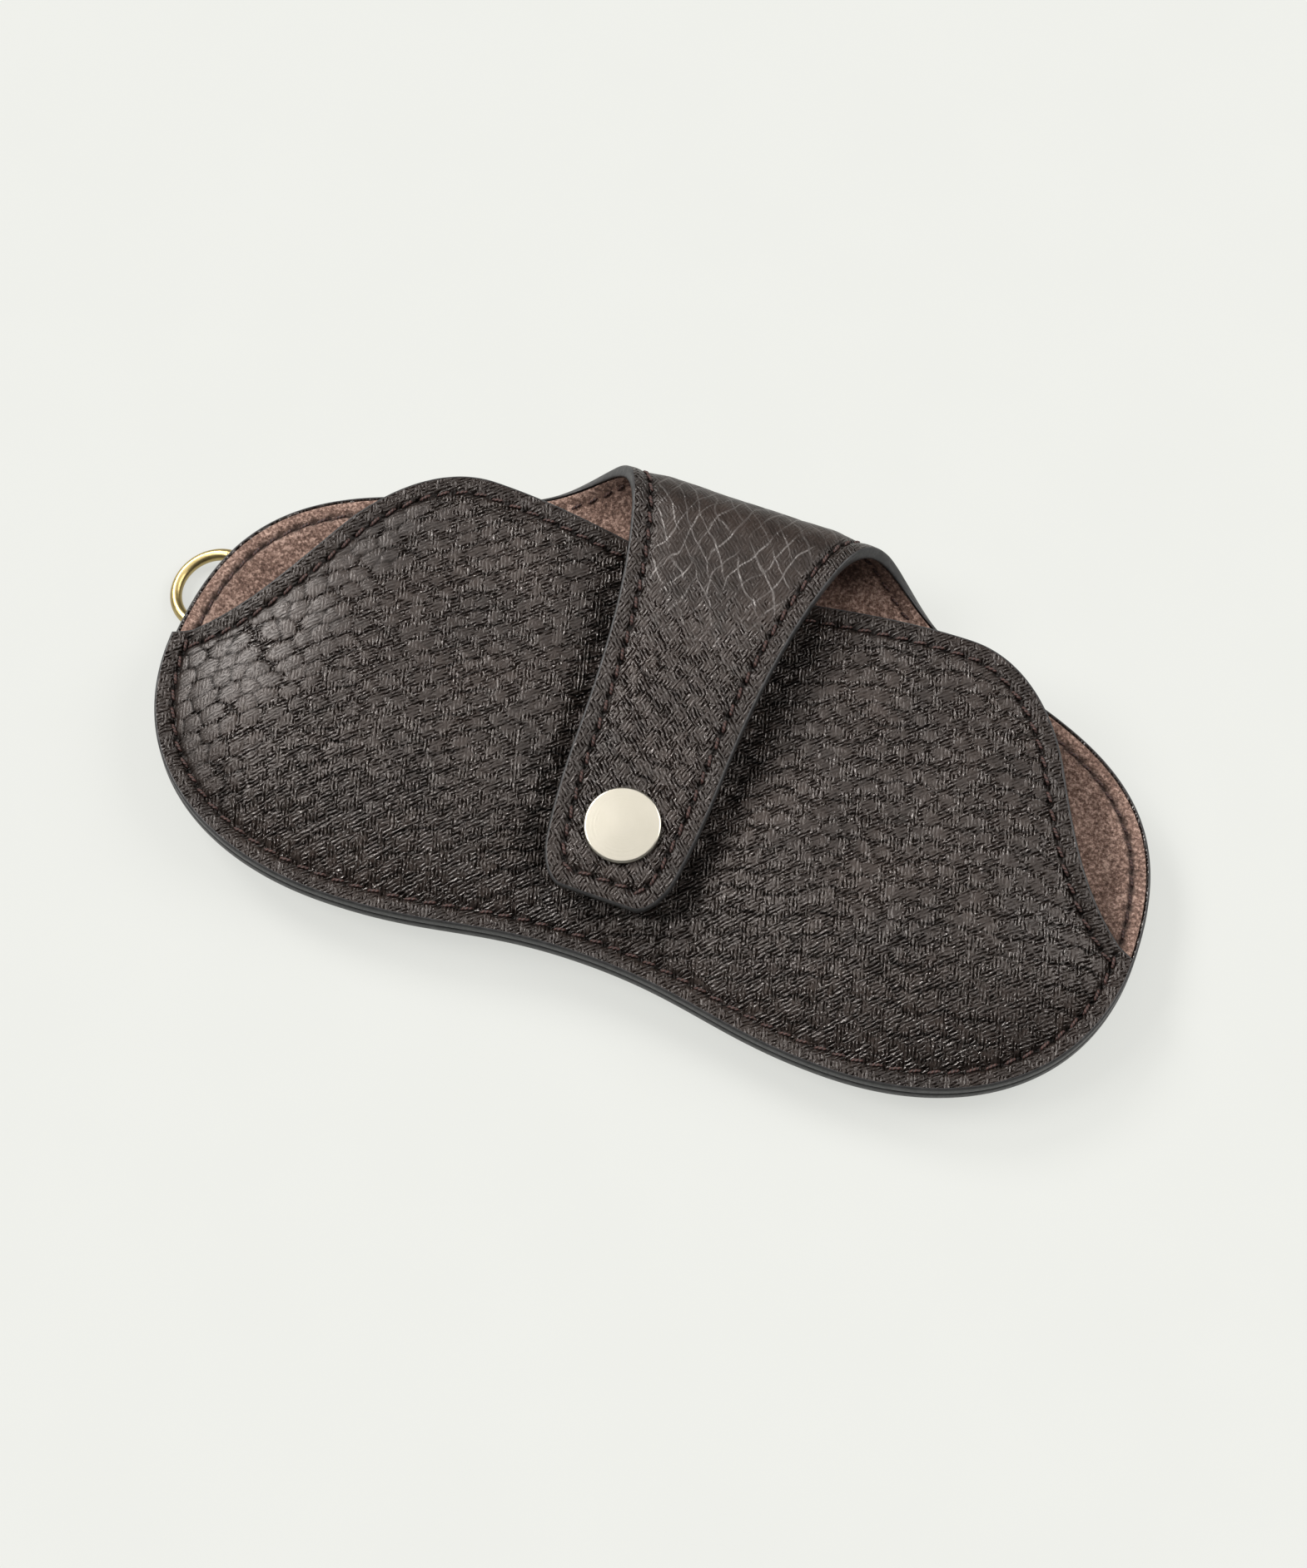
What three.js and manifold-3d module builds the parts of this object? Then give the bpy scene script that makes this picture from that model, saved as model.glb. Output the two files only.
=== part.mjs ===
// Soft leather glasses case, lying on its back.
//
// A lined back panel and a lined, domed front panel are sewn together round the bottom and the sides.
// The mouth is open at the top. A strap that grows out of the back panel folds over the mouth and snaps
// on to the front. A D-ring hangs from a small leather tab on the back.
//
// Millimetres. +X runs along the length, +Y towards the fold of the strap, +Z up out of the front panel.
// The origin is the middle of the flat zone of the back panel, on its outer face.

import * as THREE from 'three';
import { mergeVertices } from 'three/addons/utils/BufferGeometryUtils.js';
import Module from 'manifold-3d';

const wasm = await Module();
wasm.setup();

// Sheet goods
const leatherThickness = 1.2;
const suedeThickness = 0.8;
const foamThickness = 1.0; // padding inside the front panel
const boardThickness = 0.8; // stiffener inside the back panel
const glueGap = 0.15; // left between bonded or sewn layers
const fitGap = 0.3; // left between pieces that only touch

// Outline of the back panel, right half
const halfLength = 86.9; // centre line to the side of a lobe
const seamEndDrop = 4.2; // origin down to the end of the sewn seam at the side
const lobeOffset = 45; // centre line to the lowest point of a lobe
const lobeDrop = 40.2; // origin down to the lowest point of a lobe
const bridgeDrop = 35.4; // origin down to the bottom edge on the centre line
const shoulderX = 64;
const shoulderY = 33;
const rootHalfWidth = 43; // half width of the strap where it leaves the back panel
const rootY = 39.9; // where the strap leaves the back panel

// Mouth edge of the front panel, right half
const flankX = 65.6; // steepest point of the slanted side of the mouth
const flankY = 21;
const humpX = 43.5; // top of the hump
const humpY = 38.5;
const mouthY = 35; // mouth edge on the centre line

// Headings of the curves where they meet, in degrees from +X, and how full the curves are
const shoulderHeading = 157;
const rootHeading = 160;
const mouthHeading = 158; // mouth edge where it leaves the seam
const flankHeading = 116;
const foldHeading = 121; // strap edge at the back of the fold, in its flat pattern
const straightHeading = 91;
const cornerHeading = 99;
const panelFullness = 0.425;
const mouthFullness = 0.35;
const strapFullness = 0.33;

// Fullness of the pouch
const seamMargin = 3.6; // flat sewn border
const stitchInset = 3.2; // edge to the line of stitches
const rimRise = 5.5; // outer face of the back panel at the rim, above the flat zone
const backRamp = 26; // run over which the back panel drops from the rim to the flat zone
const frontRamp = 26; // run over which the front panel rises to its full bulge
const lobeBulge = 7.5; // rise of the front panel over a lobe
const bridgeBulge = 4.8; // rise of the front panel on the centre line
const bridgeWidth = 18; // half width of the valley between the lobes

// Strap
const foldRadius = 9.5; // outer face of the fold
const foldHalfWidth = 25.4; // half width at the back of the fold
const strapHalfWidth = 12.9; // half width near the snap
const strapStraight = 24; // last stretch before the tip, where the sides hardly narrow
const tipTaper = 1.4; // narrowing of each side along that stretch
const tipCornerLength = 7;
const tipHalfWidth = 6.2; // straight stretch of the tip
const strapReach = 67.6; // crest of the fold to the tip
const strapDrop = 6.85; // crest of the fold down to the tip
const snapSetback = 12.7; // tip to the middle of the snap

// Snap fastener
const capRadius = 6.5;
const capHeight = 1.0;
const capRimHeight = 0.45;
const shankRadius = 1.5;
const shankFlare = 0.1;
const socketRadius = 4.8;
const socketWall = 0.3;
const springWire = 0.4;
const bulbRadius = 2.5;
const neckRadius = 2.0;
const snapPlay = 0.35; // stud to socket
const flangeRadius = 4.8;
const flangeHeight = 0.35;
const postRadius = 1.2;
const postHeadRadius = 4;
const snapSeat = 0.45; // flanges to the leather, which is a little curved

// D-ring and its tab
const ringWire = 2.1;
const ringInside = 12.1; // clear width
const ringSide = 1.4; // straight side between the bar and the round part
const ringY = 8.4;
const ringBarInset = 3.4; // side of the case in to the bar
const tabLeather = 0.8;
const tabWidth = 11;
const tabLength = 8.5; // bar to the sewn end
const barPlay = 0.2; // bar to the loop of the tab

// Thread
const threadWidth = 0.6;
const stitchLength = 3.2;

// Fineness of the meshes
const halfColumns = 16;
const panelRows = [0, 0.05, 0.14, 0.24, 0.37, 0.5, 0.63, 0.76, 0.86, 0.95, 1];
const paddingInset = { columns: 5, rows: 2 }; // padding stops this many grid steps inside its panel
const strapColumns = 6;
const foldRows = 10;
const strapRows = [0, 0.15, 0.3, 0.45, 0.6, 0.72, 0.82, 0.9, 0.94, 0.97, 0.99, 1];
const roundSides = 24;
const threadSides = 4;
const fineSteps = 60;

// Materials
const grainLeather = new THREE.MeshStandardMaterial({ color: 0x2f2928, roughness: 0.5, metalness: 0 });
const tabHide = new THREE.MeshStandardMaterial({ color: 0x2b2625, roughness: 0.55, metalness: 0 });
const suede = new THREE.MeshStandardMaterial({ color: 0x6b5146, roughness: 0.95, metalness: 0 });
const foam = new THREE.MeshStandardMaterial({ color: 0xcfc8ba, roughness: 1, metalness: 0 });
const board = new THREE.MeshStandardMaterial({ color: 0x9a8a72, roughness: 0.9, metalness: 0 });
const thread = new THREE.MeshStandardMaterial({ color: 0x3a2624, roughness: 0.7, metalness: 0 });
const paleGold = new THREE.MeshStandardMaterial({ color: 0xd9cfb4, roughness: 0.25, metalness: 1 });
const oldBrass = new THREE.MeshStandardMaterial({ color: 0xa98f55, roughness: 0.35, metalness: 1 });
const springSteel = new THREE.MeshStandardMaterial({ color: 0xb9b9b4, roughness: 0.3, metalness: 1 });

// Plane curves

function point(x, y) {
  return new THREE.Vector2(x, y);
}

// Cubic curve that leaves a along one heading and reaches b along another, in degrees from +X.
function bend(a, leaving, b, arriving, fullness) {
  const reach = fullness * a.distanceTo(b);
  const step = (degrees) => {
    const angle = THREE.MathUtils.degToRad(degrees);
    return point(Math.cos(angle), Math.sin(angle)).multiplyScalar(reach);
  };
  return new THREE.CubicBezierCurve(a, a.clone().add(step(leaving)), b.clone().sub(step(arriving)), b);
}

// Evenly spaced points along a chain of curves.
function along(curves, count) {
  const path = new THREE.CurvePath();
  path.curves = curves;
  return path.getSpacedPoints(count);
}

// Whole curve from left to right, from its right half given from the centre line outwards.
function mirrored(half) {
  const left = half.slice(1).reverse().map((p) => point(-p.x, p.y));
  return [...left, ...half];
}

// Distance from a point to a chain of points.
function distanceTo(chain, p) {
  let least = Infinity;
  for (let i = 0; i + 1 < chain.length; i++) {
    const run = chain[i + 1].clone().sub(chain[i]);
    const share = p.clone().sub(chain[i]).dot(run) / Math.max(run.lengthSq(), 1e-12);
    const foot = chain[i].clone().addScaledVector(run, THREE.MathUtils.clamp(share, 0, 1));
    least = Math.min(least, foot.distanceTo(p));
  }
  return least;
}

// A chain of points moved sideways, to the left of its direction.
function moved(chain, offset) {
  return chain.map((p, i) => {
    const before = chain[Math.max(i - 1, 0)];
    const after = chain[Math.min(i + 1, chain.length - 1)];
    const run = after.clone().sub(before).normalize();
    return point(p.x - run.y * offset, p.y + run.x * offset);
  });
}

const seamEnd = point(halfLength, -seamEndDrop);
const lobe = point(lobeOffset, -lobeDrop);
const shoulder = point(shoulderX, shoulderY);
const rootCorner = point(rootHalfWidth, rootY);
const flank = point(flankX, flankY);
const hump = point(humpX, humpY);

const seamCurves = [
  bend(point(0, -bridgeDrop), 0, lobe, 0, panelFullness),
  bend(lobe, 0, seamEnd, 90, panelFullness),
];
const rimCurves = [
  bend(seamEnd, 90, shoulder, shoulderHeading, panelFullness),
  bend(shoulder, shoulderHeading, rootCorner, rootHeading, panelFullness),
];
const mouthCurves = [
  bend(seamEnd, mouthHeading, flank, flankHeading, mouthFullness),
  bend(flank, flankHeading, hump, 180, mouthFullness),
  bend(hump, 180, point(0, mouthY), 180, mouthFullness),
];
const rootLine = new THREE.LineCurve(rootCorner, point(0, rootY));

const seam = mirrored(along(seamCurves, halfColumns));
const backTop = mirrored(along([...rimCurves, rootLine], halfColumns).reverse());
const mouth = mirrored(along(mouthCurves, halfColumns).reverse());

// Fine copies of the same curves, for distances and stitches
const fineSeam = mirrored(along(seamCurves, fineSteps));
const fineBackTop = mirrored(along([...rimCurves, rootLine], fineSteps).reverse());
const fineMouth = mirrored(along(mouthCurves, fineSteps).reverse());

// Surfaces of the pouch, as heights over the plan

const skinStack = leatherThickness + glueGap + suedeThickness;
const seamTop = rimRise + 2 * skinStack + glueGap;

function backHeight(p) {
  const inside = Math.min(distanceTo(fineSeam, p), distanceTo(fineBackTop, p)) - seamMargin;
  const share = THREE.MathUtils.clamp(1 - inside / backRamp, 0, 1);
  return rimRise * share * share;
}

function frontHeight(p) {
  const inside = distanceTo(fineSeam, p) - seamMargin;
  const share = THREE.MathUtils.clamp(1 - inside / frontRamp, 0, 1);
  const valley = Math.exp(-((p.x / bridgeWidth) ** 2));
  const bulge = lobeBulge - (lobeBulge - bridgeBulge) * valley;
  return seamTop + bulge * (1 - share * share);
}

// Solids

// Closed sheet between two faces on one grid. at(i, j, face) gives the points of face 0 and face 1, and
// face 1 is the one that i and then j turn round anticlockwise. Pinched ends come to a single edge.
function sheet(columns, rows, at, pinched) {
  const positions = [];
  const index = [];
  const ids = new Map();
  const id = (i, j, face) => {
    const row = pinched && (i === 0 || i === columns) ? 0 : j;
    const key = `${i},${row},${face}`;
    if (!ids.has(key)) {
      ids.set(key, positions.length / 3);
      positions.push(...at(i, row, face).toArray());
    }
    return ids.get(key);
  };
  const triangle = (a, b, c) => {
    if (a !== b && b !== c && c !== a) index.push(a, b, c);
  };
  const quad = (a, b, c, d) => {
    triangle(a, b, c);
    triangle(a, c, d);
  };
  for (let i = 0; i < columns; i++) {
    for (let j = 0; j < rows; j++) {
      quad(id(i, j, 1), id(i + 1, j, 1), id(i + 1, j + 1, 1), id(i, j + 1, 1));
      quad(id(i, j, 0), id(i, j + 1, 0), id(i + 1, j + 1, 0), id(i + 1, j, 0));
    }
    quad(id(i, 0, 0), id(i + 1, 0, 0), id(i + 1, 0, 1), id(i, 0, 1));
    quad(id(i, rows, 0), id(i, rows, 1), id(i + 1, rows, 1), id(i + 1, rows, 0));
  }
  for (let j = 0; j < rows && !pinched; j++) {
    quad(id(0, j, 0), id(0, j, 1), id(0, j + 1, 1), id(0, j + 1, 0));
    quad(id(columns, j, 0), id(columns, j + 1, 0), id(columns, j + 1, 1), id(columns, j, 1));
  }
  const geometry = new THREE.BufferGeometry();
  geometry.setAttribute('position', new THREE.Float32BufferAttribute(positions, 3));
  geometry.setIndex(index);
  return geometry;
}

// Panel between a lower and an upper edge, with its two faces at the heights given. The heights are told
// whether the point lies over the padding. An inset leaves out grid steps all round, so that padding lies
// on the same facets as its leather.
function panel(lower, upper, bottom, top, inset = { columns: 0, rows: 0 }) {
  const columns = lower.length - 1;
  const rows = panelRows.length - 1;
  const within = (step, count, margin) => step >= margin && step <= count - margin;
  return sheet(columns - 2 * inset.columns, rows - 2 * inset.rows, (i, j, face) => {
    const column = i + inset.columns;
    const row = j + inset.rows;
    const p = lower[column].clone().lerp(upper[column], panelRows[row]);
    const padded = within(column, columns, paddingInset.columns) && within(row, rows, paddingInset.rows);
    return new THREE.Vector3(p.x, p.y, face === 0 ? bottom(p, padded) : top(p, padded));
  }, inset.columns === 0);
}

function solidOf(geometry) {
  const bare = geometry.clone();
  bare.deleteAttribute('normal');
  bare.deleteAttribute('uv');
  const merged = mergeVertices(bare, 1e-4);
  const faces = merged.index.array;
  const kept = [];
  for (let i = 0; i < faces.length; i += 3) {
    const [a, b, c] = faces.slice(i, i + 3);
    if (a !== b && b !== c && c !== a) kept.push(a, b, c);
  }
  return new wasm.Manifold(new wasm.Mesh({
    numProp: 3,
    vertProperties: merged.attributes.position.array,
    triVerts: new Uint32Array(kept),
  }));
}

function geometryOf(solid) {
  const mesh = solid.getMesh();
  const geometry = new THREE.BufferGeometry();
  geometry.setAttribute('position', new THREE.BufferAttribute(mesh.vertProperties, 3));
  geometry.setIndex(new THREE.BufferAttribute(mesh.triVerts, 1));
  return geometry;
}

function cut(geometry, cutter) {
  return geometryOf(solidOf(geometry).subtract(solidOf(cutter)));
}

// Solid of revolution about Z from a closed profile of [radius, height].
function turned(profile) {
  const points = profile.map(([radius, height]) => point(radius, height));
  if (profile[0][0] > 0) points.push(points[0].clone());
  return new THREE.LatheGeometry(points, roundSides).rotateX(Math.PI / 2);
}

// Round or square thread along a chain of points in space.
function threadAlong(points) {
  const section = new THREE.Shape();
  for (let i = 0; i < threadSides; i++) {
    const angle = (2 * Math.PI * i) / threadSides + Math.PI / threadSides;
    const corner = [(threadWidth / 2) * Math.cos(angle), (threadWidth / 2) * Math.sin(angle)];
    if (i === 0) section.moveTo(...corner);
    else section.lineTo(...corner);
  }
  section.closePath();
  const path = new THREE.CatmullRomCurve3(points);
  const steps = Math.max(2, Math.round(path.getLength() / stitchLength));
  return new THREE.ExtrudeGeometry(section, { steps, extrudePath: path, bevelEnabled: false });
}

const threadLift = 1.5 * fitGap + threadWidth / 2; // clear of the facets at the foot of the bulge

// Stitch line on a face of the pouch: the inset edge, thinned to one point for each stitch.
function stitchesOn(edge, inset, height) {
  const inner = moved(edge, inset);
  const count = Math.max(2, Math.round(new THREE.SplineCurve(inner).getLength() / stitchLength));
  const spaced = new THREE.SplineCurve(inner).getSpacedPoints(count);
  return spaced.map((p) => new THREE.Vector3(p.x, p.y, height(p) + threadLift));
}

// The fold and the strap, by the run s along their outer face from the root

const foldRun = Math.PI * foldRadius; // root to crest
const tipRun = foldRun + strapReach;
const strapSag = strapDrop / strapReach ** 2; // the strap hangs as a parabola
const foldCentre = new THREE.Vector3(0, rootY, rimRise + foldRadius);

// Point of the outer face on the centre line, with its outward normal.
function strapFace(s) {
  if (s < foldRun) {
    const angle = s / foldRadius - Math.PI / 2;
    const normal = new THREE.Vector3(0, Math.cos(angle), Math.sin(angle));
    return { at: foldCentre.clone().addScaledVector(normal, foldRadius), normal };
  }
  const run = s - foldRun;
  const at = new THREE.Vector3(0, foldCentre.y - run, foldCentre.z + foldRadius - strapSag * run * run);
  return { at, normal: new THREE.Vector3(0, -2 * strapSag * run, 1).normalize() };
}

// Cut edge of the strap in its flat pattern, as half width against s.
const foldPoint = point(foldHalfWidth, foldRun / 2);
const straightStart = point(strapHalfWidth, tipRun - strapStraight);
const cornerStart = point(strapHalfWidth - tipTaper, tipRun - tipCornerLength);
const strapEdge = along([
  bend(point(rootHalfWidth, 0), rootHeading, foldPoint, foldHeading, strapFullness),
  bend(foldPoint, foldHeading, straightStart, straightHeading, strapFullness),
  bend(straightStart, straightHeading, cornerStart, cornerHeading, strapFullness),
  bend(cornerStart, cornerHeading, point(tipHalfWidth, tipRun), 180, strapFullness),
], 4 * fineSteps);

function strapWidthAt(s) {
  const next = strapEdge.findIndex((p) => p.y >= s);
  if (next <= 0) return next === 0 ? strapEdge[0].x : tipHalfWidth;
  const a = strapEdge[next - 1];
  const b = strapEdge[next];
  return THREE.MathUtils.mapLinear(s, a.y, b.y, a.x, b.x);
}

// Layer of the strap between two depths under its outer face.
function strapLayer(runs, outer, inner) {
  return sheet(strapColumns, runs.length - 1, (i, j, face) => {
    const { at, normal } = strapFace(runs[j]);
    const x = strapWidthAt(runs[j]) * ((2 * i) / strapColumns - 1);
    return at.addScaledVector(normal, -(face === 0 ? outer : inner)).setX(x);
  }, false);
}

const foldRuns = Array.from({ length: foldRows + 1 }, (_, j) =>
  THREE.MathUtils.lerp(fitGap, foldRun - fitGap / 2, j / foldRows));
const strapRuns = strapRows.map((share) => THREE.MathUtils.lerp(foldRun + fitGap / 2, tipRun, share));

// Stitches on the outer face of the strap, along its edge from s = from to s = to.
function strapStitches(from, to, side) {
  const inner = moved(strapEdge, stitchInset).filter((p) => p.y >= from && p.y <= to);
  return inner.map((p) => {
    const { at, normal } = strapFace(p.y);
    return at.addScaledVector(normal, threadLift).setX(side * p.x);
  });
}

// Snap: its axis stands square to the strap
const snapRun = tipRun - snapSetback;
const snap = strapFace(snapRun);
const snapTilt = Math.atan2(-snap.normal.y, snap.normal.z);

// Distance down the snap's axis from the outer face of the strap to the front panel.
function dropToFront() {
  let drop = skinStack;
  for (let i = 0; i < 20; i++) {
    const at = snap.at.clone().addScaledVector(snap.normal, -drop);
    drop += (at.z - frontHeight(point(at.x, at.y))) * snap.normal.z;
  }
  return drop;
}

const frontDrop = dropToFront();
const snapFrame = new THREE.Group();
snapFrame.position.copy(snap.at);
snapFrame.rotation.x = snapTilt;
snapFrame.updateMatrixWorld(true);

// Round cutter along the snap's axis, in the frame of the case.
function snapBore(radius) {
  const reach = 40;
  const bore = new THREE.CylinderGeometry(radius, radius, reach, roundSides).rotateX(Math.PI / 2);
  return bore.applyMatrix4(snapFrame.matrixWorld);
}

const strapBore = shankRadius + fitGap;
const frontBore = postRadius + fitGap;

// Pieces

const glassesCase = new THREE.Group();

function add(name, geometry, material, parent = glassesCase) {
  const mesh = new THREE.Mesh(geometry, material);
  mesh.name = name;
  parent.add(mesh);
  return mesh;
}

// Back panel
function buildBack() {
  const boardRoom = boardThickness + glueGap;
  const raised = (height) => (p) => backHeight(p) + height;
  const lining = (height) => (p, padded) => raised(height)(p) + (padded ? boardRoom : 0);
  add('back_leather', panel(seam, backTop, backHeight, raised(leatherThickness)), grainLeather);
  const boardFace = leatherThickness + glueGap;
  add('back_lining', panel(seam, backTop, lining(boardFace), lining(skinStack)), suede);
  add('back_board',
    panel(seam, backTop, raised(boardFace), raised(boardFace + boardThickness), paddingInset), board);
}

// Front panel
function buildFront() {
  const lowered = (depth) => (p) => frontHeight(p) - depth;
  const foamRoom = foamThickness + glueGap;
  const lining = (depth) => (p, padded) => lowered(depth)(p) - (padded ? foamRoom : 0);
  const foamTop = leatherThickness + glueGap;
  const bore = snapBore(frontBore);
  add('front_leather',
    cut(panel(seam, mouth, lowered(leatherThickness), frontHeight), bore), grainLeather);
  add('front_lining', cut(panel(seam, mouth, lining(skinStack), lining(foamTop)), bore), suede);
  add('front_foam', cut(
    panel(seam, mouth, lowered(foamTop + foamThickness), lowered(foamTop), paddingInset), bore), foam);
}

// Fold and strap: leather outside, lining inside
function buildStrap() {
  const bore = snapBore(strapBore);
  const liningDepth = leatherThickness + glueGap;
  add('fold_leather', strapLayer(foldRuns, 0, leatherThickness), grainLeather);
  add('fold_lining', strapLayer(foldRuns, liningDepth, skinStack), suede);
  add('strap_leather', cut(strapLayer(strapRuns, 0, leatherThickness), bore), grainLeather);
  add('strap_lining', cut(strapLayer(strapRuns, liningDepth, skinStack), bore), suede);
}

// Stitching
function buildThreads() {
  const frontFace = (p) => frontHeight(p);
  const backFace = (p) => backHeight(p) + skinStack;
  add('seam_thread', threadAlong(stitchesOn(fineSeam, stitchInset, frontFace)), thread);
  const mouthEdge = fineMouth.filter((p) => Math.abs(p.x) < halfLength - 2 * stitchInset);
  add('mouth_thread', threadAlong(stitchesOn(mouthEdge, -stitchInset, frontFace)), thread);
  const rim = fineBackTop.filter((p) => p.x > rootHalfWidth && p.x < halfLength - stitchInset / 2);
  const rimStitches = stitchesOn(rim, -stitchInset, backFace);
  const opposite = rimStitches.map((p) => new THREE.Vector3(-p.x, p.y, p.z));
  add('rim_thread_right', threadAlong(rimStitches), thread);
  add('rim_thread_left', threadAlong(opposite), thread);
  const clear = 2 * fitGap;
  for (const [side, word] of [[1, 'right'], [-1, 'left']]) {
    add(`fold_thread_${word}`, threadAlong(strapStitches(clear, foldRun - clear, side)), thread);
  }
  const down = strapStitches(foldRun + clear, tipRun, 1);
  const up = down.map((p) => new THREE.Vector3(-p.x, p.y, p.z)).reverse();
  add('strap_thread', threadAlong([...down, ...up]), thread);
}

// Snap fastener, in the frame of its axis with z = 0 on the outer face of the strap
function buildSnap() {
  const under = -skinStack - fitGap; // strap side of the socket
  const ceiling = under - socketWall;
  const shankEnd = ceiling - shankFlare;
  const face = -frontDrop + snapSeat; // underside of the stud
  const flangeTop = face + flangeHeight;
  const mouthLevel = flangeTop + fitGap; // open side of the socket
  const springLevel = mouthLevel + socketWall + fitGap / 3 + springWire / 2;
  const neckTop = springLevel + springWire / 2;
  const crown = shankEnd - fitGap;
  const boreInSocket = shankRadius + fitGap / 3;
  const mouthRadius = bulbRadius + snapPlay;
  const cavityRadius = socketRadius - socketWall;
  const capSeat = fitGap;

  add('snap_cap', turned([
    [0, shankEnd], [shankRadius, shankEnd], [shankRadius, capSeat], [capRadius, capSeat],
    [capRadius, capSeat + capRimHeight], [capRadius * 0.96, capSeat + capRimHeight * 1.4],
    [capRadius * 0.6, capSeat + capHeight * 0.9], [0, capSeat + capHeight],
  ]), paleGold, snapFrame);
  add('snap_socket', turned([
    [boreInSocket, ceiling], [cavityRadius, ceiling],
    [cavityRadius, mouthLevel + socketWall], [mouthRadius, mouthLevel + socketWall],
    [mouthRadius, mouthLevel], [socketRadius, mouthLevel], [socketRadius, under], [boreInSocket, under],
  ]), oldBrass, snapFrame);

  const legOffset = neckRadius + fitGap + springWire / 2;
  const legReach = Math.sqrt((cavityRadius - springWire) ** 2 - legOffset ** 2);
  const turn = Array.from({ length: 9 }, (_, i) => {
    const angle = Math.PI / 2 + (Math.PI * i) / 8;
    return new THREE.Vector3(legOffset * Math.cos(angle), legOffset * Math.sin(angle), springLevel);
  });
  const legs = [1, -1].map((side) => new THREE.Vector3(legReach, side * legOffset, springLevel));
  const springPath = new THREE.CatmullRomCurve3([legs[0], ...turn, legs[1]]);
  const wire = new THREE.Shape().absarc(0, 0, springWire / 2, 0, 2 * Math.PI);
  add('snap_spring', new THREE.ExtrudeGeometry(wire, {
    steps: 24, curveSegments: 3, extrudePath: springPath, bevelEnabled: false,
  }), springSteel, snapFrame);

  const studBore = postRadius + fitGap / 3;
  add('snap_stud', turned([
    [studBore, face], [flangeRadius, face], [flangeRadius, flangeTop], [neckRadius, flangeTop],
    [neckRadius, neckTop], [bulbRadius, (neckTop + crown) / 2], [bulbRadius * 0.9, crown],
    [studBore, crown],
  ]), oldBrass, snapFrame);

  const frontStack = skinStack + foamThickness + glueGap;
  const postHead = -frontDrop - frontStack - snapSeat;
  add('snap_post', turned([
    [0, postHead - flangeHeight], [postHeadRadius, postHead - flangeHeight], [postHeadRadius, postHead],
    [postRadius, postHead], [postRadius, crown - fitGap], [0, crown - fitGap],
  ]), oldBrass, snapFrame);
  glassesCase.add(snapFrame);
}

// D-ring and tab: the tab lies along the slope of the back panel, and its loop holds the bar of the ring
function buildRing() {
  const loopInner = ringWire / 2 + barPlay;
  const loopOuter = loopInner + tabLeather;
  const barX = -halfLength + ringBarInset;
  const seatAt = (x) => backHeight(point(x, ringY - tabWidth / 2));
  const middle = barX + tabLength / 2;
  const slope = (seatAt(middle + 1) - seatAt(middle - 1)) / 2;
  const tilt = Math.atan(slope);
  const topAtBar = seatAt(middle) - fitGap + slope * (barX - middle);
  const bar = new THREE.Vector3(barX, ringY, topAtBar - loopOuter / Math.cos(tilt));

  // Section of the tab in its own plane: x along the tab, y towards the case
  const section = new THREE.Shape();
  const pliesBottom = loopOuter - 2 * tabLeather - glueGap;
  const slotBottom = loopInner - glueGap;
  const outerEnd = Math.asin(pliesBottom / loopOuter);
  const innerEnd = Math.asin(slotBottom / loopInner);
  section.moveTo(tabLength, loopOuter);
  section.lineTo(0, loopOuter);
  section.absarc(0, 0, loopOuter, Math.PI / 2, 2 * Math.PI + outerEnd, false);
  section.lineTo(tabLength, pliesBottom);
  section.lineTo(tabLength, slotBottom);
  section.absarc(0, 0, loopInner, 2 * Math.PI + innerEnd, Math.PI / 2, true);
  section.lineTo(tabLength, loopInner);
  section.closePath();
  const strip = new THREE.ExtrudeGeometry(section, { depth: tabWidth, bevelEnabled: false, curveSegments: 14 });
  strip.translate(0, 0, -tabWidth / 2).rotateX(Math.PI / 2);
  const tabFrame = new THREE.Group();
  tabFrame.position.copy(bar);
  tabFrame.rotation.y = -tilt;
  glassesCase.add(tabFrame);
  add('ring_tab', strip, tabHide, tabFrame);

  // Ring lying on the table: bar, two short sides and a half circle
  const mean = (ringInside + ringWire) / 2;
  const corner = ringWire;
  const reach = ringSide + mean;
  const droop = Math.asin((bar.z - ringWire / 2 - fitGap / 3) / reach);
  const outline = new THREE.Path();
  outline.moveTo(0, 0);
  outline.lineTo(0, mean - corner);
  outline.quadraticCurveTo(0, mean, -corner / 2 - ringSide / 2, mean);
  outline.lineTo(-ringSide, mean);
  outline.absarc(-ringSide, 0, mean, Math.PI / 2, (3 * Math.PI) / 2, false);
  outline.quadraticCurveTo(0, -mean, 0, -mean + corner);
  outline.closePath();
  const spaced = outline.getSpacedPoints(36).slice(0, -1);
  const loop = new THREE.CatmullRomCurve3(spaced.map((p) => new THREE.Vector3(p.x, p.y, 0)), true);
  const ringFrame = new THREE.Group();
  ringFrame.position.copy(bar);
  ringFrame.rotation.y = -droop;
  glassesCase.add(ringFrame);
  add('d_ring', new THREE.TubeGeometry(loop, 48, ringWire / 2, 8, true), oldBrass, ringFrame);

  const tabStitches = [-1, 1].map((side) => new THREE.Vector3(
    tabLength - 1.6, side * (tabWidth / 2 - 1.4), pliesBottom - threadLift));
  const starts = tabStitches.map((p) => new THREE.Vector3(loopOuter + 1, p.y, p.z));
  add('tab_thread', threadAlong([starts[0], tabStitches[0], tabStitches[1], starts[1]]), thread, tabFrame);
}

buildBack();
buildFront();
buildStrap();
buildThreads();
buildSnap();
buildRing();

export default glassesCase;
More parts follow.
